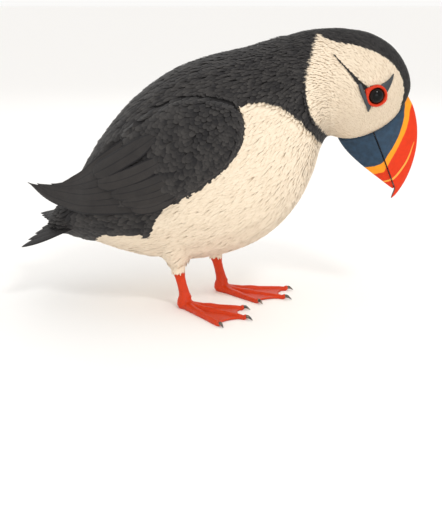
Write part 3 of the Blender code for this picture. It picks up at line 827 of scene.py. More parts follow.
def lay_feathers(name, surface, slot, tree, lot, profile, thickness, paint):
    """One piece of coat: many closed leaves that follow the skin. Paint gives their marks."""
    count, sections = len(lot.roots), len(profile)
    if not count:
        return
    middle, middle_normal = on_surface(tree, lot.spots(0.5))
    tip, tip_normal = on_surface(tree, lot.spots(1.0))
    free = lot.free[:, None]
    middle = mixed(middle + middle_normal * lot.depth[:, None] * MIDDLE_RISE, lot.spots(0.5), free)
    rise = lot.depth * RNG.normal(TIP_RISE, TIP_SPREAD, count).clip(*TIP_LIMITS)
    tip = mixed(tip + tip_normal * rise[:, None], lot.spots(1.0), free)
    tip_normal = mixed(tip_normal, lot.normals, free)
    start = lot.roots - lot.normals * ROOT_SINK
    rows, centres, along, across = [], [], [], []

    def at(t):
        return start * (1 - t) * (1 - 2 * t) + middle * 4 * t * (1 - t) + tip * t * (2 * t - 1)

    for share, wide in profile:
        centre = at(share)
        heading = unit(at(share + 0.02) - at(share - 0.02))
        side = unit(np.cross(unit(mixed(lot.normals, tip_normal, share)), heading))
        normal = np.cross(heading, side)
        half = (lot.half_width * wide)[:, None]
        low = normal * half * DROOP
        thick = normal * thickness * (1.1 - 0.5 * share)
        rows += [centre - side * half - low, centre + thick, centre + side * half - low, centre - thick]
        centres += [centre] * 4
        along += [share] * 4
        across += [-1, 0, 1, 0]
    rows.append(at(1.0))
    centres.append(rows[-1])
    along.append(1.0)
    across.append(0.0)
    size = 4 * sections + 1
    mesh = mesh_of(name, np.stack(rows, 1).reshape(-1, 3), leaf_faces(count, sections))
    sharpen_sides(mesh, size)
    add_values(mesh, "along", np.tile(along, count))
    add_values(mesh, "across", np.tile(across, count))
    add_values(mesh, "tone", np.repeat(RNG.random(count), size))
    add_values(mesh, "mark", paint(np.stack(centres, 1), lot).reshape(-1))
    patch = np.stack((np.array(across) * 0.5, np.array(along) - 0.5), 1) * PATCH
    add_map(mesh, (unwrapped(lot.roots)[:, None, :] + patch[None]).reshape(-1, 2))
    tie(object_of(name, mesh, surface), slot)


SHARP_JITTER, WHOLE_JITTER = 0.00018, 0.0004  # how ragged the two kinds of border are
CLEAN_FRONT = 0.015  # behind the origin: borders in front of this are clean
PAINT_AT = 0.85  # the share of a feather's length at which its one mark is taken


def paint_sharp(places, lot):
    """Marks that change along a feather just where the bird's own markings do."""
    jitter = RNG.normal(0, SHARP_JITTER, (len(places), 1, 3))
    return darkness((places + jitter).reshape(-1, 3)).reshape(places.shape[:2])


def paint_whole(places, lot):
    """One mark for each feather, from the middle of what shows of it."""
    jitter = RNG.normal(0, WHOLE_JITTER, (len(places), 3))
    return np.repeat(darkness(lot.spots(PAINT_AT) + jitter)[:, None], places.shape[1], axis=1)


def paint_front(places, lot):
    """Clean borders on the collar and the front of the body, and ragged ones behind."""
    front = lot.roots[:, 0] > SHIFT - CLEAN_FRONT
    return np.where(front[:, None], paint_sharp(places, lot), paint_whole(places, lot))


def paint_all(value):
    """The same mark for all."""
    return lambda places, lot: np.full(places.shape[:2], float(value))


CLEAR_STEPS = np.linspace(1.0, 0.0, 9)


def clear_share(lot, blocked):
    """The share of its length that each feather can have before it reaches a place that is blocked."""
    found = np.ones(len(lot.roots))
    for share in CLEAR_STEPS:
        found = np.where(blocked(lot.spots(share)), share, found)
    return found


def lot_of(rows, length, half_width, depth):
    """Feathers of one size from rows of (root, normal, direction)."""
    lot = Feathers(*(np.array([row[k] for row in rows]) for k in range(3)))
    lot.length[:], lot.half_width[:], lot.depth[:] = length, half_width, depth
    return lot


# The dark line behind each eye: rows along it, and the tufts' spacing and scatter across it.
EYE_LINE_ROWS, EYE_LINE_SPACING, EYE_LINE_SCATTER = 90, 0.00030, 0.00008


def lay_eye_line(skin_tree, coat):
    """Tiny dark tufts along the line behind each eye."""
    for side, sign in SIDES.items():
        rows = []
        for step in np.linspace(0, len(CREASE) - 1, EYE_LINE_ROWS):
            row = min(int(step), len(CREASE) - 2)
            middle = mixed(CREASE[row], CREASE[row + 1], step - row)
            along = unit(CREASE[row + 1] - CREASE[row])
            heading = unit(from_head(along[0], 0.0, along[1]) - from_head(0.0, 0.0, 0.0))
            width = np.interp(step, np.arange(len(CREASE)), CREASE_WIDTH)
            count = max(1, round(2 * width / EYE_LINE_SPACING))
            for k in range(count):
                aside = ((k + 0.5) / count * 2 - 1) * width * 0.85
                scatter = RNG.normal(0, EYE_LINE_SCATTER, 2)
                forward, up = middle + np.array((-along[1], along[0])) * aside + scatter
                hit, normal = seen_from_side(skin_tree, sign, forward, up)
                if hit:
                    rows.append((hit[:], normal[:], heading))
        lot = lot_of(rows, length=0.0014, half_width=0.00026, depth=0.0005)
        name = "coat_eyeline_" + side
        lay_feathers(name, coat, "plumage_black", skin_tree, lot, DOWN, 0.00006, paint_all(1))


# The tufts round each thigh: rows from the lowest up, tufts in a row, their heights, and how the tips flare.
THIGH_ROWS, THIGH_TUFTS = 11, 34
THIGH_FIRST, THIGH_STEP, THIGH_SCATTER = 0.0006, 0.0007, 0.0003
THIGH_FLARE, THIGH_FLARE_RANGE, THIGH_DROP = 0.0038, (-0.0012, 0.002), 0.0034
THIGH_RADII = (0.001, 0.0085)  # the skin is looked for between these distances from the shank's middle
THIGH_OUTSIDE = 0.012  # outside the thigh, for rays that look for its skin
SHANK_TOP = 0.004  # points of the shank this near the thigh's lower end give its middle


def lay_thigh_tufts(tree, coat):
    """Rows of fine tufts that hang down round each thigh and over the top of the shank."""
    for side in SIDES:
        bottom = points_of(cad("thigh_" + side))[:, 2].min()
        shank = points_of(cad("shank_" + side))
        top = shank[np.abs(shank[:, 2] - bottom) < SHANK_TOP]
        middle = (top.min(0) + top.max(0)) / 2
        rows = []
        for row in range(THIGH_ROWS):
            z = bottom + THIGH_FIRST + row * THIGH_STEP
            for k in range(THIGH_TUFTS):
                turn = 2 * math.pi * (k + 0.5 * (row % 2) + RNG.uniform(-0.2, 0.2)) / THIGH_TUFTS
                out = np.array((math.cos(turn), math.sin(turn), 0.0))
                start = np.array((middle[0], middle[1], z + RNG.uniform(-THIGH_SCATTER, THIGH_SCATTER)))
                hit = tree.ray_cast(Vector(start + out * THIGH_OUTSIDE), Vector(-out))[0]
                radius = np.linalg.norm(np.array(hit) - start) if hit else 0.0
                if THIGH_RADII[0] < radius < THIGH_RADII[1]:
                    flare = np.clip(THIGH_FLARE - radius, *THIGH_FLARE_RANGE)
                    down = unit(out * flare + np.array((0, 0, -THIGH_DROP)))
                    rows.append((start + out * radius, square_to(out, down), down))
        lot = lot_of(rows, length=0.0042, half_width=0.00055, depth=0.0008)
        lot.free[:] = 1.0
        lot.length *= RNG.uniform(0.75, 1.2, len(rows))
        name = "coat_thigh_" + side
        lay_feathers(name, coat, "plumage_white", tree, lot, LOCK, 0.00010, paint_all(0))


# The tail's fan, as in the CAD model: it leans over, with its right edge lower.
TAIL_ROOT = np.array((-0.0500 + SHIFT, 0.0, 0.0560))
TAIL_PITCH, TAIL_ROLL = math.radians(14), math.radians(10)
TAIL_SPREAD = math.radians(24.2)
TAIL_FEATHERS = 10
# Where the vanes start, where the middle ones end, and how much further the outer ones reach.
TAIL_START, TAIL_MIDDLE, TAIL_FORK = 0.026, 0.0470, 0.0175
TAIL_ARCH = 1.5  # the fan drops aside by this, times the square of the distance from its middle line
TAIL_HALF_WIDTH = 0.0062
# How much higher the middle feathers lie than the outer, how deep all are sunk, and each one's crown.
TAIL_LAYERS, TAIL_SINK, TAIL_CROWN = 0.0012, 0.0002, 0.0005
TAIL_BACK = np.array((-math.cos(TAIL_PITCH), 0, -math.sin(TAIL_PITCH)))
TAIL_LEVEL_UP = np.array((-math.sin(TAIL_PITCH), 0, math.cos(TAIL_PITCH)))
TAIL_ASIDE = np.array((0, math.cos(TAIL_ROLL), 0)) + math.sin(TAIL_ROLL) * TAIL_LEVEL_UP
TAIL_UP = math.cos(TAIL_ROLL) * TAIL_LEVEL_UP - np.array((0, math.sin(TAIL_ROLL), 0))
# The end of the rump, behind the origin, the height of its middle, and how long its feathers are.
RUMP_END, RUMP_MIDDLE, RUMP_LENGTH = (0.070, 0.084), 0.0475, 0.0085


def turn_to_tail(lot):
    """Feathers on the end of the rump lie back along the tail, not down round the end."""
    end = smoothstep(SHIFT - lot.roots[:, 0], *RUMP_END)
    height = lot.roots[:, 2] - RUMP_MIDDLE
    level = np.stack((0 * end, 0.25 * np.sign(lot.roots[:, 1]), np.where(height > 0, 1.0, -1.0)), 1)
    spread = np.stack((0 * end, lot.roots[:, 1] * 12, -height * 8), 1)
    lot.heading = unit(mixed(lot.heading, unit(TAIL_BACK + spread), end[:, None]))
    facing = unit(mixed(lot.normals, level, end[:, None] * 0.8))
    lot.normals = square_to(facing, lot.heading)
    lot.free = np.maximum(lot.free, end)
    lot.length = mixed(lot.length, RUMP_LENGTH, end)


# Further behind the origin than the first, the wing is a blade. Skin deeper inside its outer face than the
# second is the body's own side, and skin that faces less aside and more up than the others is its inner side.
BLADE_START, BLADE_DEPTH, BLADE_ASIDE, BLADE_UP = 0.038, 0.0075, 0.45, 0.2
# The upper edges of the large feathers of the wing in side view, where the small ones over them end.
VANES_TOP = built((
    (-95, 69.5), (-84.5, 71.0), (-76, 75.0), (-68, 80.0), (-58, 88.0), (-42, 94.5), (-36, 99.0)))
EYE_CLEARANCE = 0.0003  # no roots nearer to the eyeball than this
# How deep in the furrow roots are left out, and where the face's feathers end at it.
CREASE_BARE, CREASE_BORDER = 0.6, 0.45
# How far inside its outline the wing's roots begin, how far into it the body's feathers reach, and how far
# over its lower edge the wing's own do.
WING_MARGIN, WING_OVERLAP, WING_OVERHANG = 0.0008, 0.0004, 0.0005
CROSSING_AT, CROSSING_LENGTH = 0.8, 0.6  # feathers whose mark changes before this share are cut to that one
MARK_AT = 0.75  # the share of a feather's length that decides which region it is in
CUT_OVERLAP = 1.02  # how far a cut feather reaches over its border
LEAST_FACE, LEAST_BODY = 0.12, 0.24  # feathers that would keep less of their length than this are left out


def rooted(skin):
    """The small feathers of the whole bird, without sizes, and which of them are on a wing."""
    roots, normals = scattered(skin, coat_spacing)
    eyes = [np.linalg.norm(roots - EYE_MIDDLE[side], axis=1) for side in SIDES]
    shown = (np.min(eyes, axis=0) > EYE_RADIUS + EYE_CLEARANCE) & (crease_depth(roots) < CREASE_BARE)
    roots, normals = roots[shown], normals[shown]
    wing = within_wing(roots, WING_MARGIN)
    lot = Feathers(roots, normals, lie(roots, wing))
    kept = ~on_thigh(roots)
    return lot.chosen(kept), wing[kept]


def give_sizes(lot, wing, face):
    """Length, half width and depth by place. Gives which feathers are dark."""
    roots = lot.roots
    lot.length, lot.half_width, lot.depth = coat_of(roots, 2), coat_of(roots, 3), coat_depth(roots)
    crossing = (darkness(roots) > 0.5) != (darkness(lot.spots(CROSSING_AT)) > 0.5)
    crossing &= along_spine(roots)[0] > FACE_END
    lot.length = np.where(crossing, lot.length * CROSSING_LENGTH, lot.length)
    dark = darkness(lot.spots(MARK_AT)) > 0.5
    pale = ~dark & ~face
    lot.depth = np.where(face, lot.depth * FACE_LIFT, lot.depth)
    for name, most in (("length", WHITE_LENGTH), ("half_width", WHITE_HALF_WIDTH), ("depth", WHITE_DEPTH)):
        setattr(lot, name, np.where(pale, np.minimum(getattr(lot, name), most), getattr(lot, name)))
    back = smoothstep(SHIFT - roots[:, 0], *COVERT_WAY)
    lot.length = np.where(wing, mixed(*COVERT_LENGTH, back), lot.length)
    lot.half_width = np.where(wing, mixed(*COVERT_HALF_WIDTH, back), lot.half_width)
    return dark


def clear_of_borders(lot, wing, face):
    """The share of its length that each feather keeps, to end at the eye line or the wing's outline."""
    x, y, z = lot.roots.T
    top, low = wing_edges(x)
    low_on_wing = wing & (z + drop_at(x, np.sign(y)) < (top + low) / 2)
    limits = (
        (face, lambda spots: crease_depth(spots) > CREASE_BORDER),
        (~wing & ~face, lambda spots: within_wing(spots, WING_OVERLAP)),
        (low_on_wing, lambda spots: ~within_wing(spots, -WING_OVERHANG)),
    )
    clear = np.ones(len(x))
    for which, blocked in limits:
        clear = np.where(which, clear_share(lot, blocked), clear)
    return clear


def under_vanes(lot, wing):
    """Which roots lie under the wing's large feathers, where no small ones show."""
    roots, normals = lot.roots, lot.normals
    above = roots[:, 2] > np.interp(roots[:, 0], VANES_TOP[:, 0], VANES_TOP[:, 1])
    inner = (normals[:, 1] * np.sign(roots[:, 1]) < BLADE_ASIDE) & (normals[:, 2] > BLADE_UP)
    found = wing & (SHIFT - roots[:, 0] > BLADE_START) & ~above & ~inner
    for side, sign in SIDES.items():
        trees = wing_trees(side)
        for index in np.flatnonzero(found & (roots[:, 1] * sign > 0)):
            x, y, z = roots[index]
            reach = side_reach(trees, sign, x, z + float(drop_at(x, sign)))
            found[index] = not abs(y) < reach - BLADE_DEPTH
    return found


def build_coat(skin):
    """The small feathers of the whole bird, in pieces by region."""
    tree = tree_of(skin.data)
    lot, wing = rooted(skin)
    face = (along_spine(lot.roots)[0] < FACE_END) & ~wing
    hidden = under_vanes(lot, wing)
    dark = give_sizes(lot, wing, face)
    turn_to_tail(lot)
    clear = clear_of_borders(lot, wing, face)
    lot.length *= np.clip(clear * CUT_OVERLAP, 0, 1)
    kept = (clear > np.where(face, LEAST_FACE, LEAST_BODY)) & ~hidden
    lot, dark, face, wing = lot.chosen(kept), dark[kept], face[kept], wing[kept]
    body, front = ~wing & ~face, lot.roots[:, 0] > SHIFT
    coat = plumage_material()
    # Name, which feathers, cross-sections, thickness, slot and paint.
    groups = (
        ("face", face & ~dark, DOWN, 0.00007, "plumage_white", paint_sharp),
        ("crown", face & dark, DOWN, 0.00008, "plumage_black", paint_sharp),
        ("back", body & dark, LEAF, 0.00011, "plumage_black", paint_front),
        ("breast", body & ~dark & front, LOCK, 0.00008, "plumage_white", paint_front),
        ("belly", body & ~dark & ~front, LOCK, 0.00008, "plumage_white", paint_whole),
        ("coverts", wing, LEAF, 0.00012, "plumage_black", paint_all(1)),
    )
    for name, which, profile, thickness, slot, paint in groups:
        for side, sign in SIDES.items():
            part = lot.chosen(which & (lot.roots[:, 1] * sign >= 0))
            lay_feathers(f"coat_{name}_{side}", coat, slot, tree, part, profile, thickness, paint)
    lay_eye_line(tree, coat)
    lay_thigh_tufts(tree, coat)


# ---------------------------------------------------------------- large feathers of wing and tail
# Wing feathers in side view, millimetres where the CAD model was built.
# The inner flight feathers and great coverts over them: (root, bend, tip, half width, layer from the top).
INNER_FEATHERS = (
    ((-11, 75.0), (-25, 62.6), (-38.5, 64.4), 3.5, 5),
    ((-6, 79.0), (-26, 68.0), (-43.5, 67.2), 4.0, 4),
    ((-8, 87.0), (-31, 73.0), (-49.3, 71.3), 4.4, 3),
    ((-14, 95.0), (-38, 78.5), (-57.3, 76.4), 4.8, 2),
    ((-22, 105.0), (-42, 90.0), (-60.3, 80.8), 5.2, 1),
)
# The primaries: (lower edge, upper edge, layer), the longest lowest.
PRIMARIES = (
    (((-34, 60.6), (-56, 58.4), (-71, 57.7), (-84.5, 59.4), (-95.5, 63.4), (-105.4, 69.9)),
     ((-34, 74), (-47.6, 71), (-70.5, 67), (-87, 68), (-97.5, 69.9), (-105.4, 70.3)), 9),
    (((-34, 71.5), (-47.6, 68.2), (-70.5, 64.2), (-87.2, 65.6), (-94.5, 67.6), (-99.0, 70.0)),
     ((-34, 84), (-50, 78), (-68, 73), (-84, 71.2), (-94, 70.9), (-99.0, 70.9)), 8),
    (((-38, 81.5), (-50, 76.5), (-60.8, 72.8), (-73.4, 69.6), (-82.6, 68.8), (-89.4, 71.0)),
     ((-38, 94), (-52, 87), (-64, 79.5), (-76, 74.6), (-84.5, 72.6), (-89.4, 71.9)), 7),
    (((-44, 88), (-58, 78.0), (-68, 73.2), (-75, 70.9), (-79.5, 70.8), (-81.8, 72.2)),
     ((-44, 100), (-58, 90.2), (-68, 81.6), (-76, 76.6), (-80.5, 74.4), (-81.8, 73.4)), 6),
)
VANE_STEPS, VANE_HALF = 30, 5  # sections along a vane, and columns on each side of its shaft
VANE_THICKNESS = 0.00020
VANE_COLUMNS = np.linspace(-1, 1, 2 * VANE_HALF + 1)
VANE_CLOSING = 0.80  # share of a vane's length after which it closes to its tip
VANE_SINK, LAYER_GAP = 0.0002, 0.00025  # how far under the CAD wing's face the vanes and their layers are
VANE_SMOOTHING = 3  # times that a vane's height is evened out along it
# How deep a root is sunk, of an inner feather and of a primary, and between which shares of its length.
INNER_SINK, OUTER_SINK, SINK_SHARES = 0.0024, 0.0012, (0.05, 0.40)
FIRST_OUTER_LAYER = 6
WING_CROWN = 0.0007  # how far a vane's middle stands up


def vane_closing(shares):
    """How a vane closes to its tip, as a share of its width."""
    past = np.clip(shares - VANE_CLOSING, 0, 1) / (1 - VANE_CLOSING)
    return np.sqrt(np.clip(1 - past**2, 0, 1))


def vane_shares(bunching):
    """Shares of a vane's length for its sections, closer together towards the tip."""
    return 1 - (1 - np.linspace(0, 1, VANE_STEPS)) ** bunching


def resampled(line, steps):
    """Points at these shares of the length of a smooth line through the given ones."""
    fine = spline(line, 12)
    way = way_along(fine)
    return np.stack([np.interp(steps * way[-1], way, fine[:, k]) for k in range(2)], 1)


def vane_sheets():
    """Each large wing feather in side view: its middle line, its half width as vectors, and its layer."""
    shares = vane_shares(1.4)
    made = []
    for root, bend, tip, half_width, layer in INNER_FEATHERS:
        root, bend, tip = built((root, bend, tip))
        t = shares[:, None]
        line = root * (1 - t) ** 2 + bend * 2 * t * (1 - t) + tip * t**2
        ahead = unit(np.gradient(line, axis=0))
        wide = 0.35 + 0.65 * smoothstep(shares, 0.0, 0.35)
        half = np.stack((-ahead[:, 1], ahead[:, 0]), 1) * (wide * half_width * MM)[:, None]
        made.append((line, -half, layer))
    for lower, upper, layer in PRIMARIES:
        lower, upper = resampled(built(lower), shares), resampled(built(upper), shares)
        made.append(((lower + upper) / 2, (upper - lower) / 2, layer))
    return shares, [(line, half * vane_closing(shares)[:, None], layer) for line, half, layer in made]


def closed_vane(over, under):
    """Points and faces of a closed sheet from its two sides, each (rows, columns, 3)."""
    rows, columns = over.shape[:2]
    points = np.concatenate((over.reshape(-1, 3), under.reshape(-1, 3)))
    index = np.arange(rows * columns).reshape(rows, columns)
    low = index + rows * columns
    quads = [np.stack((index[:-1, :-1], index[:-1, 1:], index[1:, 1:], index[1:, :-1]), -1).reshape(-1, 4),
             np.stack((low[:-1, :-1], low[1:, :-1], low[1:, 1:], low[:-1, 1:]), -1).reshape(-1, 4)]
    rim = np.concatenate((index[0], index[1:, -1], index[-1, :-1][::-1], index[1:-1, 0][::-1]))
    rim_low = rim + rows * columns
    quads.append(np.stack((np.roll(rim, -1), rim, rim_low, np.roll(rim_low, -1)), -1))
    return points, np.concatenate(quads)


CELL_EDGE = 0.03  # the free edge of a vane's cell in the OFBake map


def join_vanes(name, sheets, surface, node):
    """One piece from several closed vanes, each with its own cell in the OFBake map."""
    points, faces, places = [], [], []
    values = {"along": [], "across": [], "tone": [], "length": []}
    side = math.ceil(math.sqrt(len(sheets)))
    offset = 0
    for k, (over, under, length) in enumerate(sheets):
        own, quads = closed_vane(over, under)
        points.append(own)
        faces.append(quads + offset)
        offset += len(own)
        rows, columns = over.shape[:2]
        along = np.repeat(np.linspace(0, 1, rows), columns)
        across = np.tile(np.linspace(-1, 1, columns), rows)
        values["along"].append(np.tile(along, 2))
        values["across"].append(np.tile(across, 2))
        values["tone"].append(np.full(len(own), RNG.random()))
        values["length"].append(np.full(len(own), length))
        cell = np.array((k % side, k // side)) / side
        for half in (0.0, 0.5):
            turned = CELL_EDGE + half + (across * 0.5 + 0.5) * (0.5 - 2 * CELL_EDGE)
            spot = np.stack((turned, CELL_EDGE + along * (1 - 2 * CELL_EDGE)), 1)
            places.append(cell + spot / side)
    mesh = mesh_of(name, np.concatenate(points), [np.concatenate(faces)])
    face_outwards(mesh)
    for key, numbers in values.items():
        add_values(mesh, key, np.concatenate(numbers))
    add_map(mesh, np.concatenate(places))
    tie(object_of(name, mesh, surface), "plumage_black", node)


def wing_trees(side):
    return [tree_of(cad(f"{part}_{side}")) for part in ("primaries", "wing")]


WING_SIDE = 0.2  # well outside the wing
# Nearer to the wing's lower or upper edge than these shares of its height, its face is taken from there.
FACE_SHARES = (0.12, 0.88)


def side_reach(trees, sign, x, z):
    """How far out the CAD wing's outer face is, at a place in side view or at the nearest one on the wing."""
    top, low = wing_edges(x)
    share = np.clip((z - low) / max(top - low, 1e-6), *FACE_SHARES)
    z = low + share * (top - low) - float(drop_at(x, sign))
    for tree in trees:
        hit = tree.ray_cast(Vector((x, sign * WING_SIDE, z)), Vector((0, -sign, 0)))[0]
        if hit:
            return abs(hit.y)
    return np.nan


def filled(numbers):
    """A row of numbers with its gaps filled from their neighbours."""
    known = np.flatnonzero(~np.isnan(numbers))
    return np.interp(np.arange(len(numbers)), known, numbers[known])


def build_wing_vanes(side, sign, surface):
    trees = wing_trees(side)
    shares, vanes = vane_sheets()
    sheets = []
    for line, half, layer in vanes:
        flat = line[:, None, :] + half[:, None, :] * VANE_COLUMNS[None, :, None]
        out = np.array([[side_reach(trees, sign, x, z) for x, z in row] for row in flat])
        out = np.stack([filled(column) for column in out.T], 1)
        for _ in range(VANE_SMOOTHING):
            padded = np.pad(out, ((1, 1), (0, 0)), mode="edge")
            out = (padded[:-2] + 2 * padded[1:-1] + padded[2:]) / 4
        root_sink = INNER_SINK if layer < FIRST_OUTER_LAYER else OUTER_SINK
        sink = VANE_SINK + LAYER_GAP * layer + root_sink * (1 - smoothstep(shares, *SINK_SHARES))
        crown = WING_CROWN * (1 - VANE_COLUMNS**2)[None] * vane_closing(shares)[:, None]
        out = out + crown - sink[:, None]
        z = flat[..., 1] - drop_at(flat[..., 0], sign)
        over = np.stack((flat[..., 0], sign * out, z), -1)
        under = over - np.array((0, sign * VANE_THICKNESS, 0)) * (1.4 - shares[:, None, None] * 0.6)
        sheets.append((over[:, ::sign], under[:, ::sign], way_along(line)[-1]))
    join_vanes(f"flight_feathers_{side}", sheets, surface, f"primaries_{side}")


def tail_place(turn, reach, height):
    """A point of the fan, at this turn from its middle, this far from its root and this far above it."""
    x, y = reach * np.cos(turn), reach * np.sin(turn)
    height = height - TAIL_ARCH * y * y
    return TAIL_ROOT + x[..., None] * TAIL_BACK + y[..., None] * TAIL_ASIDE + height[..., None] * TAIL_UP


def build_tail_vanes():
    sheets = []
    shares = vane_shares(1.3)
    for k in range(TAIL_FEATHERS):
        share = 2 * k / (TAIL_FEATHERS - 1) - 1
        end = TAIL_MIDDLE + TAIL_FORK * abs(share) ** 1.4
        reach = mixed(TAIL_START, end, shares)[:, None]
        pointed = np.clip(1 - (np.clip(shares - 0.55, 0, 1) / 0.45) ** 1.9, 0, 1)[:, None] ** 0.85
        half = TAIL_HALF_WIDTH * (0.55 + 0.45 * shares)[:, None] * pointed
        turn = share * TAIL_SPREAD + half * VANE_COLUMNS / reach
        height = TAIL_LAYERS * (1 - abs(share)) - TAIL_SINK + TAIL_CROWN * pointed * (1 - VANE_COLUMNS**2)
        over = tail_place(turn, reach, height)
        under = tail_place(turn, reach, height - VANE_THICKNESS * 1.4)
        sheets.append((over, under, end - TAIL_START))
    join_vanes("tail_feathers", sheets, vane_material("tail_vane", 0.35), "tail")


# ---------------------------------------------------------------- bill
# Each half of the bill, in the head's millimetres: (forward, up of its ridge, half width at its edge).
UPPER_ROWS = (
    (16.0, 21.4, 9.2), (24.0, 22.0, 9.0), (32.0, 20.7, 8.4), (39.5, 18.0, 7.6), (46.5, 14.2, 6.6),
    (53.0, 9.2, 5.2), (58.5, 3.6, 3.6), (62.3, -1.6, 2.3), (64.6, -5.6, 1.2), (65.6, -8.0, 0.35))
LOWER_ROWS = (
    (17.0, -20.8, 8.0), (24.0, -21.2, 7.9), (31.0, -20.0, 7.4), (38.0, -17.5, 6.5), (45.0, -14.3, 5.3),
    (52.0, -10.7, 3.8), (58.0, -7.6, 2.2), (60.8, -6.0, 1.1))
# The mouth line: its height at the head's middle, its drop from there to the tip, and where the tip is.
MOUTH_GAPE, MOUTH_DROP, MOUTH_TIP = -0.0022, 0.0026, 0.0610
MOUTH_GAP = 0.00008
HOOK_WAY, HOOK_DROP = (0.0600, 0.0662), 0.0038  # where the upper half bends down over the lower, and how far
MOUTH_EDGE = 0.0006  # radius of the cutting edges
RIDGE_HALF_WIDTH = 0.0013
BILL_ARC, BILL_STEPS = 56, 14  # points on each side of a section, and sections from row to row
THIN_BILL = 0.003  # where the bill is narrower than this, its relief and its cutting edges fade out

# Colour borders on the bill, in the head's millimetres (forward, up), from the ridge down to the chin.
SLATE_EDGE = spline((
    (12, 23.5), (17.5, 20.4), (23.5, 17.3), (28.8, 14.3), (32.8, 11), (36.6, 6.9), (40.1, 2.3),
    (42.8, -1.9), (45.0, -5.0), (45.2, -9.2), (44.4, -12.8), (43.2, -15.7), (41.5, -18.2),
    (38, -23)), 5) * MM
YELLOW_EDGE = spline((
    (22, 24), (24.7, 20.4), (28.9, 17.6), (33.2, 14.3), (36.5, 10.9), (39.7, 7.2), (42.8, 3.0), (45.6, -0.8),
    (48.4, -4.4), (50.0, -6.4), (49.8, -9), (49.3, -12), (48.4, -15.5), (46, -21)), 5) * MM
GROOVE_LINE = spline((
    (42.2, 14.9), (44.4, 12.7), (47.2, 10.1), (50.2, 6.7), (53.0, 2.2), (54.9, -1.7), (55.7, -4.6),
    (55.6, -7.2), (55.0, -10.1), (54.0, -13)), 5) * MM


def mouth_line(forward):
    return MOUTH_GAPE - MOUTH_DROP * np.maximum(forward / MOUTH_TIP, 0) ** 2


def base_at(forward, upward):
    """Where the cutting edge of one half of the bill lies."""
    hook = HOOK_DROP * smoothstep(forward, *HOOK_WAY) ** 1.3 if upward > 0 else 0.0
    return mouth_line(forward) + upward * MOUTH_GAP / 2 - hook


def beyond(line, x, y):
    """Distance from a border, and less than 0 on the side of the bill's base."""
    away, _, side = nearest_on_line(line, x, y)
    return away * side


def from_face(forward, up):
    """How far beyond the face's round edge a place on the bill is."""
    return np.hypot(forward - FACE_EDGE[0], up - FACE_EDGE[1]) - FACE_EDGE_RADIUS


def hump(away, width):
    return np.exp(-((away / width) ** 2))


# Height, place beyond a border and half width of the slate's step, of two grooves and of the rim at the base.
BILL_RELIEF = (
    (0.00030, -0.0012, 0.0010),
    (-0.00016, 0.0, 0.0006),
    (-0.00038, 0.0, 0.0006),
    (0.00050, 0.0009, 0.0008),
)


def bill_relief(forward, up):
    """How far the horn stands out at a place on the bill."""
    away = [beyond(line, forward, up) for line in (SLATE_EDGE, YELLOW_EDGE, GROOVE_LINE)]
    away.append(from_face(forward, up))
    return sum(height * hump(way - place, width) for way, (height, place, width) in zip(away, BILL_RELIEF))


def bill_section(forward, ridge, width, upward):
    """One closed ring of points across a half of the bill, from its edge over the ridge to the other edge."""
    base = base_at(forward, upward)
    narrow, thin = min(RIDGE_HALF_WIDTH, width), min(1.0, width / THIN_BILL)
    turn = np.linspace(0, 1, BILL_ARC) ** 1.25
    height = np.sin(turn * math.pi / 2) ** 0.9
    aside = narrow * np.sqrt(np.clip(1 - turn**6, 0, 1)) + (width - narrow) * (1 - height**1.7)
    up = base + (ridge - base) * height
    aside = aside + bill_relief(np.full(BILL_ARC, forward), up) * (turn < 0.93) * thin
    edge = np.clip(1 - (up - base) * upward / MOUTH_EDGE, 0, 1)
    aside = aside - MOUTH_EDGE * 0.7 * (1 - np.sqrt(1 - edge**2)) * thin
    return from_head(forward, np.concatenate((aside, -aside[-2::-1])), np.concatenate((up, up[-2::-1])))


def build_mandible(name, rows, upward, surface, node):
    """One half of the bill: smooth horn with a rounded ridge, its surface raised and grooved across."""
    sections = spline(np.array(rows) * MM, BILL_STEPS)
    rings = np.array([bill_section(*section, upward) for section in sections])
    points, faces = capped(rings)
    mesh = mesh_of(name, points, faces)
    forward, up = to_head(points)
    groove, share, _ = nearest_on_line(GROOVE_LINE, forward, up)
    seam = np.repeat([base_at(section[0], upward) for section in sections], rings.shape[1])
    seam = np.concatenate((seam, np.zeros(2)))
    add_values(mesh, "beyond_slate", beyond(SLATE_EDGE, forward, up) / MM)
    add_values(mesh, "beyond_yellow", beyond(YELLOW_EDGE, forward, up) / MM)
    add_values(mesh, "from_groove", groove / MM + 0.42 * (np.abs(share - 0.58) / 0.58) ** 1.5)
    add_values(mesh, "from_mouth", np.abs(up - seam) / MM)
    add_values(mesh, "from_base", from_face(forward, up) / MM)
    face_outwards(mesh)
    tie(object_of(name, mesh, surface), "bill", node)


# ---------------------------------------------------------------- eyes, their rings and plates
EYE_COLUMNS, EYE_ROWS = 48, 32  # the eyeball's faces round its axis, and from front to back
EYE_VIEW, EYE_BULGE = 0.0045, 0.00045  # radius of the part of the eye that shows, and how far it stands out
# The eye looks along the mean normal of the face at these places round its middle: (forward, up).
ROUND_EYE = 0.009 * np.array([(math.cos(turn), math.sin(turn)) for turn in np.arange(16) * (math.pi / 8)])
# The lids' section: (distance from the eye's axis, height over the eye's middle).
LIDS = (
    (4.45, 2.6), (4.42, 3.45), (4.55, 3.95), (4.85, 4.35), (5.25, 4.50), (5.65, 4.35), (5.95, 3.80),
    (6.0, 2.8), (5.0, 2.3))
LID_POINTS = 96
LID_OUTER = (0.0046, 0.0058)  # between these radii the lids take up the ring's corners
BEADS, BEAD_HEIGHT, BEADS_ABOVE = 24, 0.00009, 0.0040
# Where the ring draws out into a corner: turn in the plane of forward and up, and how far.
LID_CORNERS = ((math.radians(216), 0.0011), (math.radians(40), 0.0004))
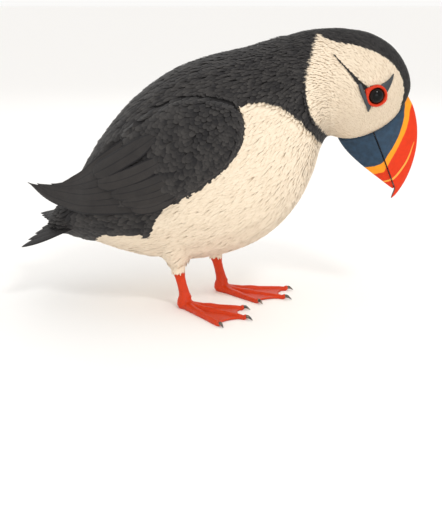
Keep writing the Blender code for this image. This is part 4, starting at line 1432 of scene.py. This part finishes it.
# Bare plates over and under the eye, in the head's millimetres from the eye: (forward, up).
PLATES = {
    "over": ((-3.2, 4.4), (-3.3, 6.0), (-3.6, 8.4), (-4.2, 10.9), (-5.3, 13.2), (-2.9, 11.5), (-0.6, 9.1),
             (1.3, 6.6), (2.2, 4.8), (-0.6, 4.8)),
    "under": ((-8.6, -3.9), (-4.3, -3.9), (0.2, -4.05), (3.4, -4.1), (5.0, -4.5), (6.6, -6.7), (3.5, -6.4),
              (0.0, -6.35), (-4.0, -6.2), (-8.6, -5.4)),
}
# The plates' rings from the root outwards: (share of the outline, height over the face).
PLATE_RINGS = ((1.0, -0.0012), (1.0, 0.00015), (0.94, 0.00045), (0.78, 0.00065), (0.45, 0.00075))
HEAD_SIDE = 0.1  # well outside the head


def seen_from_side(tree, sign, forward, up):
    """The surface at a place in side view of the head, and its outward normal there."""
    spot = Vector(from_head(forward, sign * HEAD_SIDE, up))
    hit, normal = tree.ray_cast(spot, Vector((0, -sign, 0)))[:2]
    if hit and normal.y * sign <= 0:
        normal = -normal
    return hit, normal


def eye_axes(sign, tree):
    """The eye's forward, its up, and where it looks."""
    met = [seen_from_side(tree, sign, *spot) for spot in np.array(EYE_IN_HEAD) + ROUND_EYE]
    look = unit(sum(np.array(normal) for hit, normal in met if hit))
    ahead = square_to(FORWARD, look)
    return ahead, square_to(square_to(UPWARD, look), ahead), look


def build_eye(side, axes, surface):
    """A ball whose front stands out a little. Its rings run from the middle of the pupil to the back."""
    turn = np.linspace(0, 2 * math.pi, EYE_COLUMNS, endpoint=False)
    tilt = np.linspace(0, math.pi, EYE_ROWS + 1)[1:-1, None]
    rings = np.stack((np.sin(tilt) * np.cos(turn), np.sin(tilt) * np.sin(turn), np.cos(tilt) + 0 * turn), -1)
    local, faces = capped(EYE_RADIUS * rings)
    local[-2:, 2] = EYE_RADIUS, -EYE_RADIUS
    from_axis = np.hypot(local[:, 0], local[:, 1])
    local[:, 2] += EYE_BULGE * np.clip(1 - (from_axis / EYE_VIEW) ** 2, 0, 1) * (local[:, 2] > 0)
    mesh = mesh_of("eyeball_" + side, EYE_MIDDLE[side] + local @ np.array(axes), faces)
    add_values(mesh, "from_pupil", from_axis / EYE_VIEW)
    face_outwards(mesh)
    tie(object_of("eyeball_" + side, mesh, surface), "eye", "eye_" + side)


def build_eye_ring(side, axes, surface):
    """The red lids: a fleshy ring, finely beaded, from the eyeball's surface out to the feathers."""
    ahead, above, look = axes
    middle = EYE_MIDDLE[side]
    angle = np.linspace(0, 2 * math.pi, LID_POINTS, endpoint=False)
    drawn_out = np.zeros(LID_POINTS)
    for turn, reach in LID_CORNERS:
        apart = np.abs((angle - turn + math.pi) % (2 * math.pi) - math.pi)
        drawn_out += reach * hump(apart, 0.30)
    out = np.cos(angle)[:, None] * ahead + np.sin(angle)[:, None] * above
    rings = []
    for radius, up in np.array(LIDS) * MM:
        corner = drawn_out * smoothstep(radius, *LID_OUTER)
        bead = BEAD_HEIGHT * np.cos(angle * BEADS) * (up > BEADS_ABOVE)
        rings.append(middle + (radius + corner)[:, None] * out + (up + bead - corner * 0.5)[:, None] * look)
    index = np.arange(len(LIDS) * LID_POINTS).reshape(len(LIDS), LID_POINTS)
    below, beside = np.roll(index, -1, axis=0), np.roll(index, -1, axis=1)
    quads = np.stack((index, beside, np.roll(below, -1, axis=1), below), -1).reshape(-1, 4)
    mesh = mesh_of("eye_ring_" + side, np.concatenate(rings), [quads])
    face_outwards(mesh)
    tie(object_of("eye_ring_" + side, mesh, surface), "bill")


def build_plates(side, sign, tree, surface):
    """Small slabs of bare horn over and under each eye, domed and following the face."""
    for place, outline in PLATES.items():
        loop = spline(outline + (outline[0],), 5)[:-1] * MM + np.array(EYE_IN_HEAD)
        centre = loop.mean(0)
        rings = []
        for share, height in PLATE_RINGS:
            met = [seen_from_side(tree, sign, *spot) for spot in centre + (loop - centre) * share]
            rings.append([hit + normal * height for hit, normal in met])
        points, faces = capped(np.array(rings))
        name = f"eye_plate_{place}_{side}"
        mesh = mesh_of(name, points, faces)
        face_outwards(mesh)
        tie(object_of(name, mesh, surface), "bill")


# ---------------------------------------------------------------- legs, feet and claws
TOE_NAMES = ("inner", "middle", "outer")
PAD_RADIUS, PAD_SINK = 0.00150, 0.0002
CLAW_ROOT = 0.0004  # how far the end of a claw's root reaches
LEG_GROW, LEG_VOXEL, LEG_SMOOTHING, LEG_SINK = 0.00025, 0.00042, 3, 0.0001


def toe_pads(side):
    """A round pad at each toe's end, where the claw grows out of it."""
    low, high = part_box("shank_" + side)
    heel = np.array(((low.x + high.x) / 2, (low.y + high.y) / 2, 0))
    pads = []
    for toe in TOE_NAMES:
        points = points_of(cad(f"claw_{toe}_{side}"))
        away = np.linalg.norm(points[:, :2] - heel[:2], axis=1)
        root = points[away < away.min() + CLAW_ROOT].mean(0)
        back = unit(heel - root * (1, 1, 0))
        pads.append((Vector(root + back * PAD_SINK), PAD_RADIUS))
    return pads


def build_leg(side, surface):
    """Shank and foot as one scaly skin, which is flat where it stands on the floor."""
    nodes = [f"shank_{side}", f"foot_{side}"]
    leg = fused(f"leg_{side}", nodes, LEG_GROW, LEG_VOXEL, LEG_SMOOTHING, toe_pads(side))
    mesh = leg.data
    mesh.name = leg.name
    points = points_of(mesh) - normals_of(mesh) * LEG_SINK
    points[:, 2] = np.maximum(points[:, 2], 0.0)
    place_points(mesh, points)
    smooth_faces(mesh)
    give_surface(mesh, surface)
    tie(leg, "leg_skin", *nodes)


def build_claws(side, surface):
    for toe in TOE_NAMES:
        node = f"claw_{toe}_{side}"
        claw = object_of("horn_" + node, welded_copy(node, 0.0), surface)
        step = claw.modifiers.new("round", "SUBSURF")
        step.levels = step.render_levels = 2
        finished(claw)
        smooth_faces(claw.data)
        tie(claw, "claw", node)


# ---------------------------------------------------------------- floor, light and camera
FLOOR_HALF_SIZE = 60.0
WORLD_COLOUR, WORLD_STRENGTH = (1.0, 0.99, 0.975, 1), 0.97
LAMPS_AIM = Vector((0, 0, 0.08))
# Name, place, power and size.
LAMPS = (
    ("key", (0.40, -0.70, 0.85), 2.6, 0.20),
    ("fill", (0.30, -0.90, 0.15), 1.7, 0.60),
    ("back", (-0.10, 0.90, 0.80), 1.4, 0.70),
)


def build_stage():
    paint = Shading("floor_paint", roughness=0.9, specular=0.1)
    paint.base((*LINEAR["floor"], 1))
    mesh = bpy.data.meshes.new("floor")
    corners = [(x * FLOOR_HALF_SIZE, y * FLOOR_HALF_SIZE, 0) for x, y in ((-1, -1), (1, -1), (1, 1), (-1, 1))]
    mesh.from_pydata(corners, [], [(0, 1, 2, 3)])
    object_of("floor", mesh, paint.surface)
    world = bpy.data.worlds.new("studio")
    bpy.context.scene.world = world
    world.use_nodes = True
    background = world.node_tree.nodes["Background"]
    background.inputs["Color"].default_value = WORLD_COLOUR
    background.inputs["Strength"].default_value = WORLD_STRENGTH
    for name, place, power, size in LAMPS:
        data = bpy.data.lights.new(name, "AREA")
        data.energy = power
        data.shape = "DISK"
        data.size = size
        lamp = object_of(name, data)
        lamp.location = place
        lamp.rotation_euler = (LAMPS_AIM - Vector(place)).to_track_quat("-Z", "Y").to_euler()


CAMERA_AZIMUTH, CAMERA_ELEVATION = math.radians(5), math.radians(14)
CAMERA_DISTANCE = 0.6
SENSOR = 36  # the sensor's width in millimetres, which is for the frame's long side, its height
VIEW_WIDTH = 0.2590  # width of the frame at the bird
AIM = Vector((SHIFT + 0.0060, 0.0, 0.0288))
FRAME_SHAPE = 442 / 505


def build_camera():
    data = bpy.data.cameras.new("camera")
    data.sensor_width = SENSOR
    data.lens = SENSOR * CAMERA_DISTANCE / (VIEW_WIDTH / FRAME_SHAPE)
    data.clip_start, data.clip_end = 0.05, 20
    level = math.cos(CAMERA_ELEVATION)
    east, south = math.sin(CAMERA_AZIMUTH) * level, math.cos(CAMERA_AZIMUTH) * level
    back = Vector((east, -south, math.sin(CAMERA_ELEVATION)))
    camera = object_of("camera", data)
    camera.location = AIM + back * CAMERA_DISTANCE
    camera.rotation_euler = back.to_track_quat("Z", "Y").to_euler()
    bpy.context.scene.camera = camera


def main():
    bpy.context.scene.view_settings.view_transform = "Standard"
    build_camera()
    build_stage()
    skin = build_skin()
    build_coat(skin)
    vanes, eye = vane_material("vane"), eye_material()
    lids = skin_material("eye_ring_skin", "ring", 1800)
    plate = horn_material("eye_plate", "plate", "slate_dark", 0.42, 0.1, 700)
    head_tree = tree_of(cad("head"))
    for side, sign in SIDES.items():
        build_wing_vanes(side, sign, vanes)
        axes = eye_axes(sign, head_tree)
        build_eye(side, axes, eye)
        build_eye_ring(side, axes, lids)
        build_plates(side, sign, head_tree, plate)
    build_tail_vanes()
    bill = bill_material()
    build_mandible("upper_mandible", UPPER_ROWS, 1, bill, "bill_upper")
    build_mandible("lower_mandible", LOWER_ROWS, -1, bill, "bill_lower")
    scales = skin_material("leg_skin", "leg", 700)
    horn = horn_material("claw_horn", "claw", "white_shade", 0.32, 0.2, 500)
    for side in SIDES:
        build_leg(side, scales)
        build_claws(side, horn)


main()
